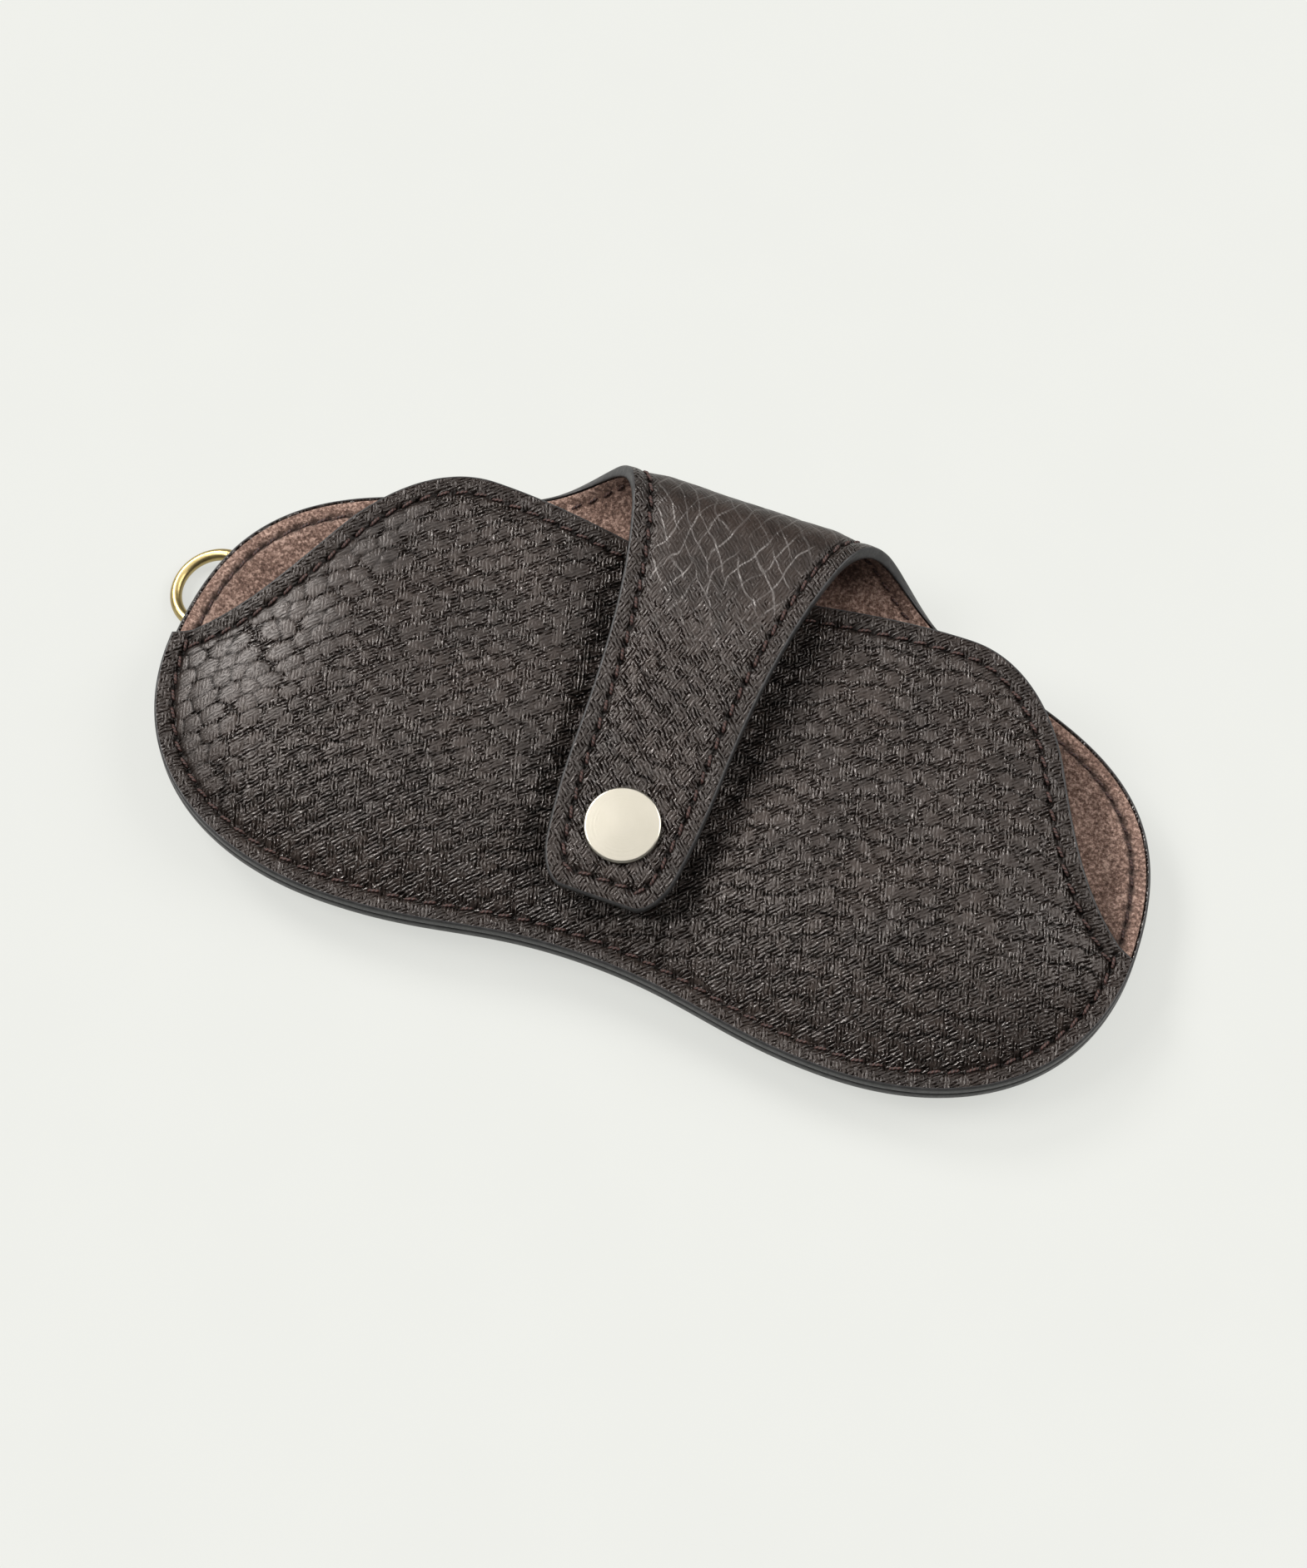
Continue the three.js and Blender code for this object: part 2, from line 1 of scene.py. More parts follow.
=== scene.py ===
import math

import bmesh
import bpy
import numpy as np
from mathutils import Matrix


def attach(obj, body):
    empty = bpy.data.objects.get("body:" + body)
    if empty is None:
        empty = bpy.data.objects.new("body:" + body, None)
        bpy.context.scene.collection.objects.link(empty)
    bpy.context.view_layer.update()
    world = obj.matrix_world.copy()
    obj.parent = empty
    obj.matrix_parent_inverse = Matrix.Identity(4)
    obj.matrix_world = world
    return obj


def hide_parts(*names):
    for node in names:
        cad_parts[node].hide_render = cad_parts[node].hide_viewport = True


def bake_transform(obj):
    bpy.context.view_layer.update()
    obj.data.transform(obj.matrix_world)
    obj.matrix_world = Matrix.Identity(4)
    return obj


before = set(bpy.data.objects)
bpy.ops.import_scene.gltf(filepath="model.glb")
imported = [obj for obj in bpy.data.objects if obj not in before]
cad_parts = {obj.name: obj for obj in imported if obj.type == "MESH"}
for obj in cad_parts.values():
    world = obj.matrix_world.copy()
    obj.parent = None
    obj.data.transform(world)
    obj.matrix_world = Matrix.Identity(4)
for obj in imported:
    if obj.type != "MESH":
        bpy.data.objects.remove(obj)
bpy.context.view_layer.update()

# Looks of a leather glasses case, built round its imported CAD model.
#
# Every surface is worked out with numpy in millimetres from the sizes that the CAD model has, and goes into
# its mesh in metres. The case lies on its back: +X runs along it, +Y points to the fold of the strap, and +Z
# points up out of the front panel.

MM = 0.001

# Sheet goods
LEATHER = 1.2
SUEDE = 0.8
FOAM = 1.0
BOARD = 0.8
GLUE = 0.15
FIT = 0.3
STACK = LEATHER + GLUE + SUEDE

# Outline of the back panel, right half
HALF_LENGTH = 86.9
SEAM_END = (HALF_LENGTH, -4.2)
LOBE = (45.0, -40.2)
BRIDGE = (0.0, -35.4)
SHOULDER = (64.0, 33.0)
ROOT_HALF = 43.0
ROOT_Y = 39.9

# Mouth edge of the front panel, right half
FLANK = (65.6, 21.0)
HUMP = (43.5, 38.5)
MOUTH_MIDDLE = (0.0, 35.0)

# Fullness of the curves, their headings in degrees, and fullness of the pouch
PANEL_FULL = 0.425
MOUTH_FULL = 0.35
STRAP_FULL = 0.33
ROOT_HEADING = 160
FOLD_HEADING = 121
SHOULDER_HEADING = 157
MOUTH_HEADING = 158
FLANK_HEADING = 116
STRAIGHT_HEADING = 91
TIP_HEADING = 99
SEAM_MARGIN = 3.6
STITCH_INSET = 3.2
RIM_RISE = 5.5
RAMP = 26.0
LOBE_BULGE = 7.5
BRIDGE_BULGE = 4.8
BRIDGE_WIDTH = 18.0
SEAM_TOP = RIM_RISE + 2 * STACK + GLUE

# Strap
FOLD_R = 9.5
FOLD_HALF = 25.4
STRAP_HALF = 12.9
STRAP_STRAIGHT = 24.0
TIP_TAPER = 1.4
TIP_CORNER = 7.0
TIP_HALF = 6.2
STRAP_REACH = 67.6
SAG = 6.85 / STRAP_REACH**2
SNAP_SETBACK = 12.7
FOLD_RUN = math.pi * FOLD_R
TIP_RUN = FOLD_RUN + STRAP_REACH
FOLD_Z = RIM_RISE + FOLD_R

# Snap fastener
CAP_R = 6.5
CAP_RIM = 0.45
CAP_DOME = 0.34
CAP_EDGE = 0.42
CAP_FLATNESS = 1.35
CAP_SINK = 0.25
CAP_CHAMFER = 0.1
SHANK_R = 1.5
SHANK_FLARE = 0.1
SOCKET_R = 4.8
SOCKET_WALL = 0.3
SPRING_WIRE = 0.4
BULB_R = 2.5
BULB_TAPER = 0.9
NECK_R = 2.0
SNAP_PLAY = 0.35
FLANGE_R = 4.8
FLANGE_H = 0.35
POST_R = 1.2
POST_HEAD_R = 4.0
SNAP_SEAT = 0.45
SOCKET_ROUND = 0.25
STUD_ROUND = 0.3
POST_ROUND = 0.2

# D-ring and tab
RING_WIRE = 2.1
RING_INSIDE = 12.1
RING_SIDE = 1.4
RING_Y = 8.4
RING_INSET = 3.4
TAB_LEATHER = 0.8
TAB_WIDTH = 11.0
TAB_LENGTH = 8.5
BAR_PLAY = 0.2
TAB_GAP = 0.25
TAB_SOFT = 0.12
TAB_CRISP = 50
TAB_SEWN_END = 1.6
TAB_SEWN_SIDE = 1.4
TAB_SEWN_BAR = 1
TAB_SUNK = 0.02

# Thread, the groove that it is pulled into, and the needle holes
THREAD = 0.56
PITCH = 3.2
TAB_PITCH = 2.6
STITCH_HALF = 0.39
STITCH_TALL = 0.42
STITCH_TAPER = 3.2
STITCH_SLANT = 0.22
STITCH_RISE = 0.04
STITCH_DIP = 0.5
SUNK = 0.1
SUEDE_SUNK = 0.36
GROOVE_DEEP = 0.26
PIT_DEEP = 0.32

# Edge finish of the sheets: how far the painted edge is rounded, and how far the lining stays inside it
EDGE_ROUND = 0.4
LINING_INSET = 0.75

# Pebble grain: turn and size of the pebbles, arch of their rows, how far they are out of place, width and
# depth of the creases, which are fainter within a row, and how smooth (top) and how dark (crease) the border
# is; a negative crease marks stretched leather
GRAIN_TURN = math.radians(20)
PEBBLE_LONG = 3.9
PEBBLE_WIDE = 3.4
ROW_ARCH = 0.2
ROW_SPREAD = 25.0
ROW_LEAN = 0.08
JITTER_ALONG = 0.65
JITTER_ACROSS = 0.4
CREASE_WIDTH = 0.4
CREASE_IN_ROW = 0.4
CREASE_DEPTH = 0.07
PEBBLE_DOME = 0.1
BORDER_TOP = 0.55
BORDER_CREASE = 0.36
TIGHT_CREASE = 0.1
LATTICE = 256
WAVE_COUNT = 24
WAVES_EACH = 6
rng = np.random.default_rng(7)
PEBBLE_JITTER = rng.random((LATTICE, LATTICE, 2)) - 0.5
WAVES = np.column_stack([rng.uniform(low, high, WAVE_COUNT)
                         for low, high in ((0, 2 * math.pi), (0, 2 * math.pi), (0.7, 1.4))])


# Curves in the plane

BATCH = 8192


def bend(a, leaving, b, arriving, fullness, steps=160):
    """Cubic curve from a to b. Its inner control points lie the fullness times the distance from a to b along
    the two headings, which are in degrees from +X."""
    a, b = np.array(a, float), np.array(b, float)
    reach = fullness * np.hypot(*(b - a))
    out, back = math.radians(leaving), math.radians(arriving)
    c1 = a + reach * np.array([math.cos(out), math.sin(out)])
    c2 = b - reach * np.array([math.cos(back), math.sin(back)])
    t = np.linspace(0, 1, steps + 1)[:, None]
    return (1 - t) ** 3 * a + 3 * (1 - t) ** 2 * t * c1 + 3 * (1 - t) * t**2 * c2 + t**3 * b


def chain(*parts):
    """Several curves end to end, with the shared points kept once."""
    return np.concatenate([parts[0]] + [p[1:] for p in parts[1:]])


def level_line(x, y):
    """Points at places x, all with the same last coordinate y."""
    return np.column_stack([x, np.full(len(x), y)])


def arc(radius, angle):
    """Points on a circle about the origin."""
    return radius * np.column_stack([np.cos(angle), np.sin(angle)])


def corner_curve(a, corner, b, t):
    """Curve from a to b that bends towards a corner."""
    return (1 - t) ** 2 * a + 2 * t * (1 - t) * corner + t**2 * b


def grid(*parts):
    """Points of a grid from their coordinates, each of which may vary along one side of it only."""
    return np.stack(np.broadcast_arrays(*parts), -1)


def unit(vectors):
    """Vectors brought to length 1."""
    return vectors / np.linalg.norm(vectors, axis=1, keepdims=True)


def runs(points):
    """Distance along a chain of points, from its first point."""
    return np.concatenate([[0], np.cumsum(np.linalg.norm(np.diff(points, axis=0), axis=1))])


def between(values, run, at):
    """Values given at runs along a chain, one row each, worked out at other runs."""
    return np.column_stack([np.interp(at, run, column) for column in values.T])


def spaced(points, count):
    """The same chain with count + 1 points at equal distances along it."""
    run = runs(points)
    return between(points, run, np.linspace(0, run[-1], count + 1))


def mirrored(half):
    """Whole curve from left to right, from its right half given from the centre line outwards."""
    return np.concatenate([half[:0:-1] * [-1, 1], half])


def tangents(points):
    """Unit direction of a chain at each of its points, by central differences."""
    step = np.gradient(points, axis=0)
    return step / np.maximum(np.linalg.norm(step, axis=1, keepdims=True), 1e-12)


def sideways(points, offset):
    """A chain moved to the left of its direction."""
    t = tangents(points)
    return points + offset * np.column_stack([-t[:, 1], t[:, 0]])


def nearest(points, line):
    """Distance from each point to a chain, and the run along the chain of the nearest place: the closest
    chain point, corrected by the projection on the direction there."""
    flat = points.reshape(-1, 2)
    t, run = tangents(line), runs(line)
    index = np.empty(len(flat), int)
    size = (line**2).sum(1)
    for first in range(0, len(flat), BATCH):
        some = slice(first, first + BATCH)
        index[some] = np.argmin(size - 2 * flat[some] @ line.T, axis=1)
    gap = flat - line[index]
    ahead = (gap * t[index]).sum(1)
    ends = (index == 0) | (index == len(line) - 1)
    square = (gap**2).sum(1)
    away = np.sqrt(np.where(ends, square, np.maximum(square - ahead**2, 0)))
    shape = points.shape[:-1]
    return away.reshape(shape), (run[index] + ahead).reshape(shape)


def to_edge(points, *lines):
    """Distance from each point to the nearest of several chains."""
    return np.minimum.reduce([nearest(points, line)[0] for line in lines])


seam_half = chain(bend(BRIDGE, 0, LOBE, 0, PANEL_FULL), bend(LOBE, 0, SEAM_END, 90, PANEL_FULL))
rim_half = chain(
    bend(SEAM_END, 90, SHOULDER, SHOULDER_HEADING, PANEL_FULL),
    bend(SHOULDER, SHOULDER_HEADING, (ROOT_HALF, ROOT_Y), ROOT_HEADING, PANEL_FULL),
)
root_half = level_line(np.linspace(ROOT_HALF, 0, 100), ROOT_Y)
back_top_half = chain(rim_half, root_half)[::-1]
mouth_half = chain(
    bend(SEAM_END, MOUTH_HEADING, FLANK, FLANK_HEADING, MOUTH_FULL),
    bend(FLANK, FLANK_HEADING, HUMP, 180, MOUTH_FULL),
    bend(HUMP, 180, MOUTH_MIDDLE, 180, MOUTH_FULL),
)[::-1]

# Steps of the fine outlines, and how far a sewn line stays from the seam and from the root
FINE = 320
STRAP_FINE = 400
SEWN_CLEAR = STITCH_INSET - 0.3
ROOT_CLEAR = 1.0
seam_line = mirrored(spaced(seam_half, FINE))
back_top_line = mirrored(spaced(back_top_half, FINE))
mouth_line = mirrored(spaced(mouth_half, FINE))

fold_point = (FOLD_HALF, FOLD_RUN / 2)
straight_start = (STRAP_HALF, TIP_RUN - STRAP_STRAIGHT)
corner_start = (STRAP_HALF - TIP_TAPER, TIP_RUN - TIP_CORNER)
strap_side = chain(
    bend((ROOT_HALF, 0), ROOT_HEADING, fold_point, FOLD_HEADING, STRAP_FULL),
    bend(fold_point, FOLD_HEADING, straight_start, STRAIGHT_HEADING, STRAP_FULL),
    bend(straight_start, STRAIGHT_HEADING, corner_start, TIP_HEADING, STRAP_FULL),
    bend(corner_start, TIP_HEADING, (TIP_HALF, TIP_RUN), 180, STRAP_FULL),
)
tip_half = level_line(np.linspace(TIP_HALF, 0, 40), TIP_RUN)
strap_half = spaced(chain(strap_side, tip_half), STRAP_FINE)
strap_line = np.concatenate([strap_half, strap_half[-2::-1] * [-1, 1]])

seam_sewn = sideways(seam_line, STITCH_INSET)
mouth_sewn = sideways(mouth_line, -STITCH_INSET)
mouth_sewn = mouth_sewn[to_edge(mouth_sewn, seam_line) > SEWN_CLEAR]
rim_sewn = sideways(back_top_line, -STITCH_INSET)
rim_sewn = rim_sewn[(rim_sewn[:, 0] > ROOT_HALF) & (to_edge(rim_sewn, seam_line) > SEWN_CLEAR)]
strap_sewn = sideways(strap_line, STITCH_INSET)
strap_sewn = strap_sewn[strap_sewn[:, 1] > ROOT_CLEAR]


# Heights and small forms


def smooth(x, low, high):
    """Share that goes from 0 at low to 1 at high, level at both ends."""
    t = np.clip((x - low) / (high - low), 0, 1)
    return t * t * (3 - 2 * t)


def swell(points, wavelength, first=0):
    """Gentle unevenness between about -1 and 1: a sum of six plane waves of about one wavelength, in fixed
    directions and phases."""
    total = np.zeros(points.shape[:-1])
    for heading, phase, stretch in WAVES[first:first + WAVES_EACH]:
        along = points[..., 0] * math.cos(heading) + points[..., 1] * math.sin(heading)
        total += np.sin(2 * math.pi / (wavelength * stretch) * along + phase)
    return total / (WAVES_EACH / 2)


def grain(points, open_share):
    """Pebble grain on the flat pattern: a brick lattice of jittered cells, longer along the grain, whose rows
    arch from end to end by the logarithm of a hyperbolic cosine, so that their slope levels off. Returns the
    height, which is 0 on the pebbles and negative in the creases, how deep in a crease a point is, and how
    much it is on the smooth top of a pebble. A crease is where the nearest and the second nearest cell are
    about equally far. Where the grain is open, the pebbles are fuller, with wide tops and clear creases."""
    c, s = math.cos(GRAIN_TURN), math.sin(GRAIN_TURN)
    along = points[..., 0] * c + points[..., 1] * s + 0.6 * swell(points, 12, 0)
    arch = ROW_ARCH * ROW_SPREAD * np.log(np.cosh(points[..., 0] / ROW_SPREAD)) - ROW_LEAN * points[..., 0]
    across = points[..., 1] * c - points[..., 0] * s + 0.55 * swell(points, 15, 6) + arch
    u, v = along / PEBBLE_LONG, across / PEBBLE_WIDE
    first, second = np.full(u.shape, 9.0), np.full(u.shape, 9.0)
    first_row, second_row = np.zeros(u.shape, int), np.zeros(u.shape, int)
    for row_step in range(-2, 3):
        row = np.floor(v).astype(int) + row_step
        shift = 0.5 * (row % 2)
        column_here = np.floor(u - shift).astype(int)
        for column_step in range(-2, 3):
            column = column_here + column_step
            jitter = PEBBLE_JITTER[column % LATTICE, row % LATTICE]
            du = u - (column + shift + 0.5 + JITTER_ALONG * jitter[..., 0])
            dv = v - (row + 0.5 + JITTER_ACROSS * jitter[..., 1])
            away = np.hypot(0.95 * du, dv)
            nearer = away < first
            next_one = ~nearer & (away < second)
            second_row = np.where(nearer, first_row, np.where(next_one, row, second_row))
            second = np.where(nearer, first, np.where(next_one, away, second))
            first_row = np.where(nearer, row, first_row)
            first = np.where(nearer, away, first)
    edge = (second - first) * PEBBLE_WIDE
    faint = np.where(first_row == second_row, CREASE_IN_ROW, 1.0)
    faint = faint * np.clip(0.8 + 0.5 * swell(points, 19, 9), 0.4, 1)
    crease = np.exp(-((edge / (CREASE_WIDTH - 0.1 * open_share)) ** 2)) * (faint + (1 - faint) * open_share)
    dome = np.clip(first / 0.66, 0, 1) ** 2
    reach = 0.2 + 0.06 * swell(points, 14, 3) + 0.28 * open_share
    top = (1 - smooth(first - reach, 0.0, 0.2)) * (1 + 0.6 * open_share)
    height = -CREASE_DEPTH * crease * (1 + 0.7 * open_share) - PEBBLE_DOME * dome * (1 + 1.4 * open_share)
    return height, crease, top


def pressed(bumps, crease, top, away):
    """Grain that is pressed flat along a sewn border, which has its own darkness and smoothness."""
    calm = 0.2 + 0.8 * smooth(away, 1.5, 4.5)
    inner = smooth(away, 2.5, 5)
    crease = BORDER_CREASE + (crease * calm - BORDER_CREASE) * inner
    return bumps * calm, crease, BORDER_TOP + (top - BORDER_TOP) * inner


def stitch_count(line):
    """Whole number of stitches that fits a sewn line."""
    return max(2, round(runs(line)[-1] / PITCH))


def groove(points, sewn):
    """Sewn line: depth of the pulled-in groove and of the needle holes, and how dark a point is painted there
    as the shade of the groove and the holes. The groove is a bell curve across the line, the holes are
    bell-shaped pits where stitches meet."""
    away, run = nearest(points, sewn)
    pitch = runs(sewn)[-1] / stitch_count(sewn)
    off = ((run / pitch + 0.5) % 1 - 0.5) * pitch
    line = np.exp(-((away / 0.55) ** 2))
    pit = np.exp(-((away / 0.55) ** 2 + (off / 0.65) ** 2))
    # painted shade: darkest in the holes, and almost as dark along the middle of the groove
    dark = np.maximum(np.sqrt(pit), 0.85 * np.exp(-((away / 0.5) ** 2)))
    return GROOVE_DEEP * line + PIT_DEEP * pit, dark


def back_height(points):
    """Outer face of the back panel: flat in the middle, and rising to the rim with the square of the share of
    the ramp that is left."""
    inside = to_edge(points, seam_line, back_top_line) - SEAM_MARGIN
    return RIM_RISE * np.clip(1 - inside / RAMP, 0, 1) ** 2


def front_height(points):
    """Outer face of the front panel: level along the sewn border, then rising to its bulge, which is lower in
    the valley on the centre line."""
    share = np.clip(1 - (to_edge(points, seam_line) - SEAM_MARGIN) / RAMP, 0, 1)
    valley = np.exp(-((points[..., 0] / BRIDGE_WIDTH) ** 2))
    bulge = LOBE_BULGE - (LOBE_BULGE - BRIDGE_BULGE) * valley
    return SEAM_TOP + bulge * (1 - share**2)


def pinched(points):
    """How much the front leather is pinched beside the strap: a bell curve across each edge of it."""
    half = np.interp(ROOT_Y + FOLD_RUN - points[..., 1], strap_half[:, 1], strap_half[:, 0])
    band = np.exp(-(((np.abs(points[..., 0]) - half - 1.6) / 2.6) ** 2))
    return band * smooth(points[..., 1], -30, -20)


def front_open(points):
    """Where the grain of the front is open: the left end."""
    return smooth(-points[..., 0] + 0.25 * points[..., 1], 52, 70)


def stretched(flat):
    """Where the grain of the strap is stretched: over the fold."""
    return smooth(flat[..., 1], 4, 12) * (1 - smooth(flat[..., 1], 32, 60))


def front_form(points):
    """Front panel as sewn: its height, less the grooves along the seam and the mouth, with soft unevenness in
    the middle and crumples beside the strap. Also gives the holes."""
    away = to_edge(points, seam_line, mouth_line)
    cut_a, hole_a = groove(points, seam_sewn)
    cut_b, hole_b = groove(points, mouth_sewn)
    inner = smooth(away, 3.5, 12)
    soft = inner * (0.22 * swell(points, 26, 12) + 0.07 * swell(points, 9, 18))
    border = 0.12 * np.exp(-((away - 1.6) ** 2))
    crumple = inner * pinched(points) * (0.16 * swell(points * [1.0, 1.6], 6, 6) - 0.5)
    return front_height(points) - cut_a - cut_b + soft + border + crumple, np.maximum(hole_a, hole_b)


def on_right(points):
    """Points brought over to the right half, as both halves are alike."""
    return np.stack([np.abs(points[..., 0]), points[..., 1]], -1)


def back_form(points):
    """Back panel as sewn, seen from below: its height, with the grooves going up into it."""
    cut_a, hole_a = groove(points, seam_sewn)
    cut_b, hole_b = groove(on_right(points), rim_sewn)
    return back_height(points) + cut_a + cut_b, np.maximum(hole_a, hole_b)


def back_lining_form(points):
    """Suede face of the back panel: the leather and the lining over the outer face, the board's thickness
    more in the middle, and a groove along the rim."""
    away = to_edge(points, seam_line, back_top_line)
    cut, hole = groove(on_right(points), rim_sewn)
    room = (BOARD + GLUE) * smooth(away, 7, 14)
    nap = 0.06 * swell(points, 5, 3) * smooth(away, 4, 8)
    return back_height(points) + STACK + room + nap - cut * 1.7, hole


def back_lining_under(points):
    """Hidden face of the back lining."""
    return back_lining_form(points)[0] - SUEDE


def front_lining_height(points):
    """Suede face of the front panel: below the leather, with room for the foam except near the edges."""
    away = to_edge(points, seam_line, mouth_line)
    return front_height(points) - STACK - (FOAM + GLUE) * smooth(away, 7, 14)


def on_strap(x, s, lift):
    """Point of the fold and strap: s runs from the root over the fold, which is a half circle, and down the
    strap, which hangs as a parabola. The lift is along the outward normal."""
    angle = s / FOLD_R - math.pi / 2
    run = np.maximum(s - FOLD_RUN, 0)
    folded = s < FOLD_RUN
    slope = 2 * SAG * run
    size = np.sqrt(1 + slope**2)
    ny = np.where(folded, np.cos(angle), -slope / size)
    nz = np.where(folded, np.sin(angle), 1 / size)
    y = np.where(folded, ROOT_Y + FOLD_R * np.cos(angle), ROOT_Y - run)
    z = np.where(folded, FOLD_Z + FOLD_R * np.sin(angle), FOLD_Z + FOLD_R - SAG * run**2)
    return grid(x, y + ny * lift, z + nz * lift)


SNAP_S = TIP_RUN - SNAP_SETBACK


def strap_form(flat):
    """Lift of the strap's outer face over its CAD face: puffed up inside the stitches, pulled in along them,
    and pressed flat round the snap. Also gives the holes."""
    away = to_edge(flat, strap_line)
    cut, hole = groove(flat, strap_sewn)
    root = smooth(flat[..., 1], 0.0, 4.0)
    to_snap = np.hypot(flat[..., 0], flat[..., 1] - SNAP_S)
    puff = 0.55 * smooth(away, 3.0, 8.0) * smooth(to_snap, 4.0, 13.0) * root
    press = -0.12 * np.exp(-(((to_snap - CAP_R) / 1.3) ** 2))
    border = 0.1 * np.exp(-(((away - 1.5) / 0.9) ** 2)) * root
    soft = 0.12 * swell(flat, 17, 4) * smooth(away, 4, 9) * root
    return puff + press + border + soft - root * cut, root * hole


# Meshes

# Distance in metres at which the points of a mesh are merged
MERGE = 4e-7


def make_piece(name, points, quads, finishes, finish_of=None, fields=None, crisp=None):
    """Mesh piece from points in millimetres and faces of four corners. Points that coincide are merged, so
    seams and poles close, and the faces are turned outwards."""
    mesh = bpy.data.meshes.new(name)
    mesh.vertices.add(len(points))
    mesh.vertices.foreach_set("co", (points * MM).astype(np.float32).ravel())
    mesh.loops.add(quads.size)
    mesh.loops.foreach_set("vertex_index", quads.astype(np.int32).ravel())
    mesh.polygons.add(len(quads))
    mesh.polygons.foreach_set("loop_start", np.arange(0, quads.size, 4, dtype=np.int32))
    if finish_of is not None:
        mesh.polygons.foreach_set("material_index", finish_of.astype(np.int32))
    mesh.update(calc_edges=True)
    for field, values in (fields or {}).items():
        vector = values.ndim == 2
        layer = mesh.attributes.new(field, "FLOAT_VECTOR" if vector else "FLOAT", "POINT")
        layer.data.foreach_set("vector" if vector else "value", values.astype(np.float32).ravel())
    work = bmesh.new()
    work.from_mesh(mesh)
    bmesh.ops.remove_doubles(work, verts=work.verts, dist=MERGE)
    bmesh.ops.recalc_face_normals(work, faces=work.faces)
    work.to_mesh(mesh)
    work.free()
    mesh.polygons.foreach_set("use_smooth", np.ones(len(mesh.polygons), bool))
    if crisp is not None:
        mesh.set_sharp_from_angle(angle=math.radians(crisp))
    for finish in finishes:
        mesh.materials.append(finish)
    piece = bpy.data.objects.new(name, mesh)
    bpy.context.scene.collection.objects.link(piece)
    return piece


def tube_quads(rings, around, closed=False):
    """Faces between rings of points, each ring closed on itself; the last ring joins the first if closed."""
    i = np.arange(rings if closed else rings - 1)[:, None]
    k = np.arange(around)[None, :]
    j, m = (i + 1) % rings, (k + 1) % around
    return grid(i * around + k, i * around + m, j * around + m, j * around + k).reshape(-1, 4)


# Profile of a painted edge: outward offset from the rounded corner line, and share of the way to the far side
EDGE_OUT = np.array([-1.0, -0.45, -0.1, 0.0, 0.0, -0.1, -0.45, -1.0]) * EDGE_ROUND
EDGE_DOWN = np.array([0.0, 0.035, 0.14, 0.32, 0.68, 0.86, 0.965, 1.0])
# How much further inside the hidden face stays
HIDDEN_INSET = 0.3


def edge_levels(face, lip):
    """Levels down the profile of a painted edge, from the face to the lip."""
    return face * (1 - EDGE_DOWN) + lip * EDGE_DOWN


def sheet_fields(loop, pad, crease, top, hole):
    """Fields of a sheet: its flat pattern, and the grain and the holes of its shown face, 0 elsewhere."""
    flat = np.pad(loop, [(0, 0), (0, 0), (0, 1)]).reshape(-1, 3)
    shown = {"crease": crease, "top": top, "hole": hole}
    return {"flat": flat, **{name: np.pad(values, pad).ravel() for name, values in shown.items()}}


def past_root(points):
    """Points of the strap's pattern held past its root, which has no rounded edge."""
    return np.maximum(points, [-np.inf, 0.0])


def end_normals(lower, upper):
    """Outward directions of a panel's two edges, made equal at the two ends, where the edges meet."""
    low, up = tangents(lower), tangents(upper)
    low = np.column_stack([low[:, 1], -low[:, 0]])
    up = np.column_stack([-up[:, 1], up[:, 0]])
    for end in (0, -1):
        both = low[end] + up[end]
        low[end] = up[end] = both / np.linalg.norm(both)
    return low, up


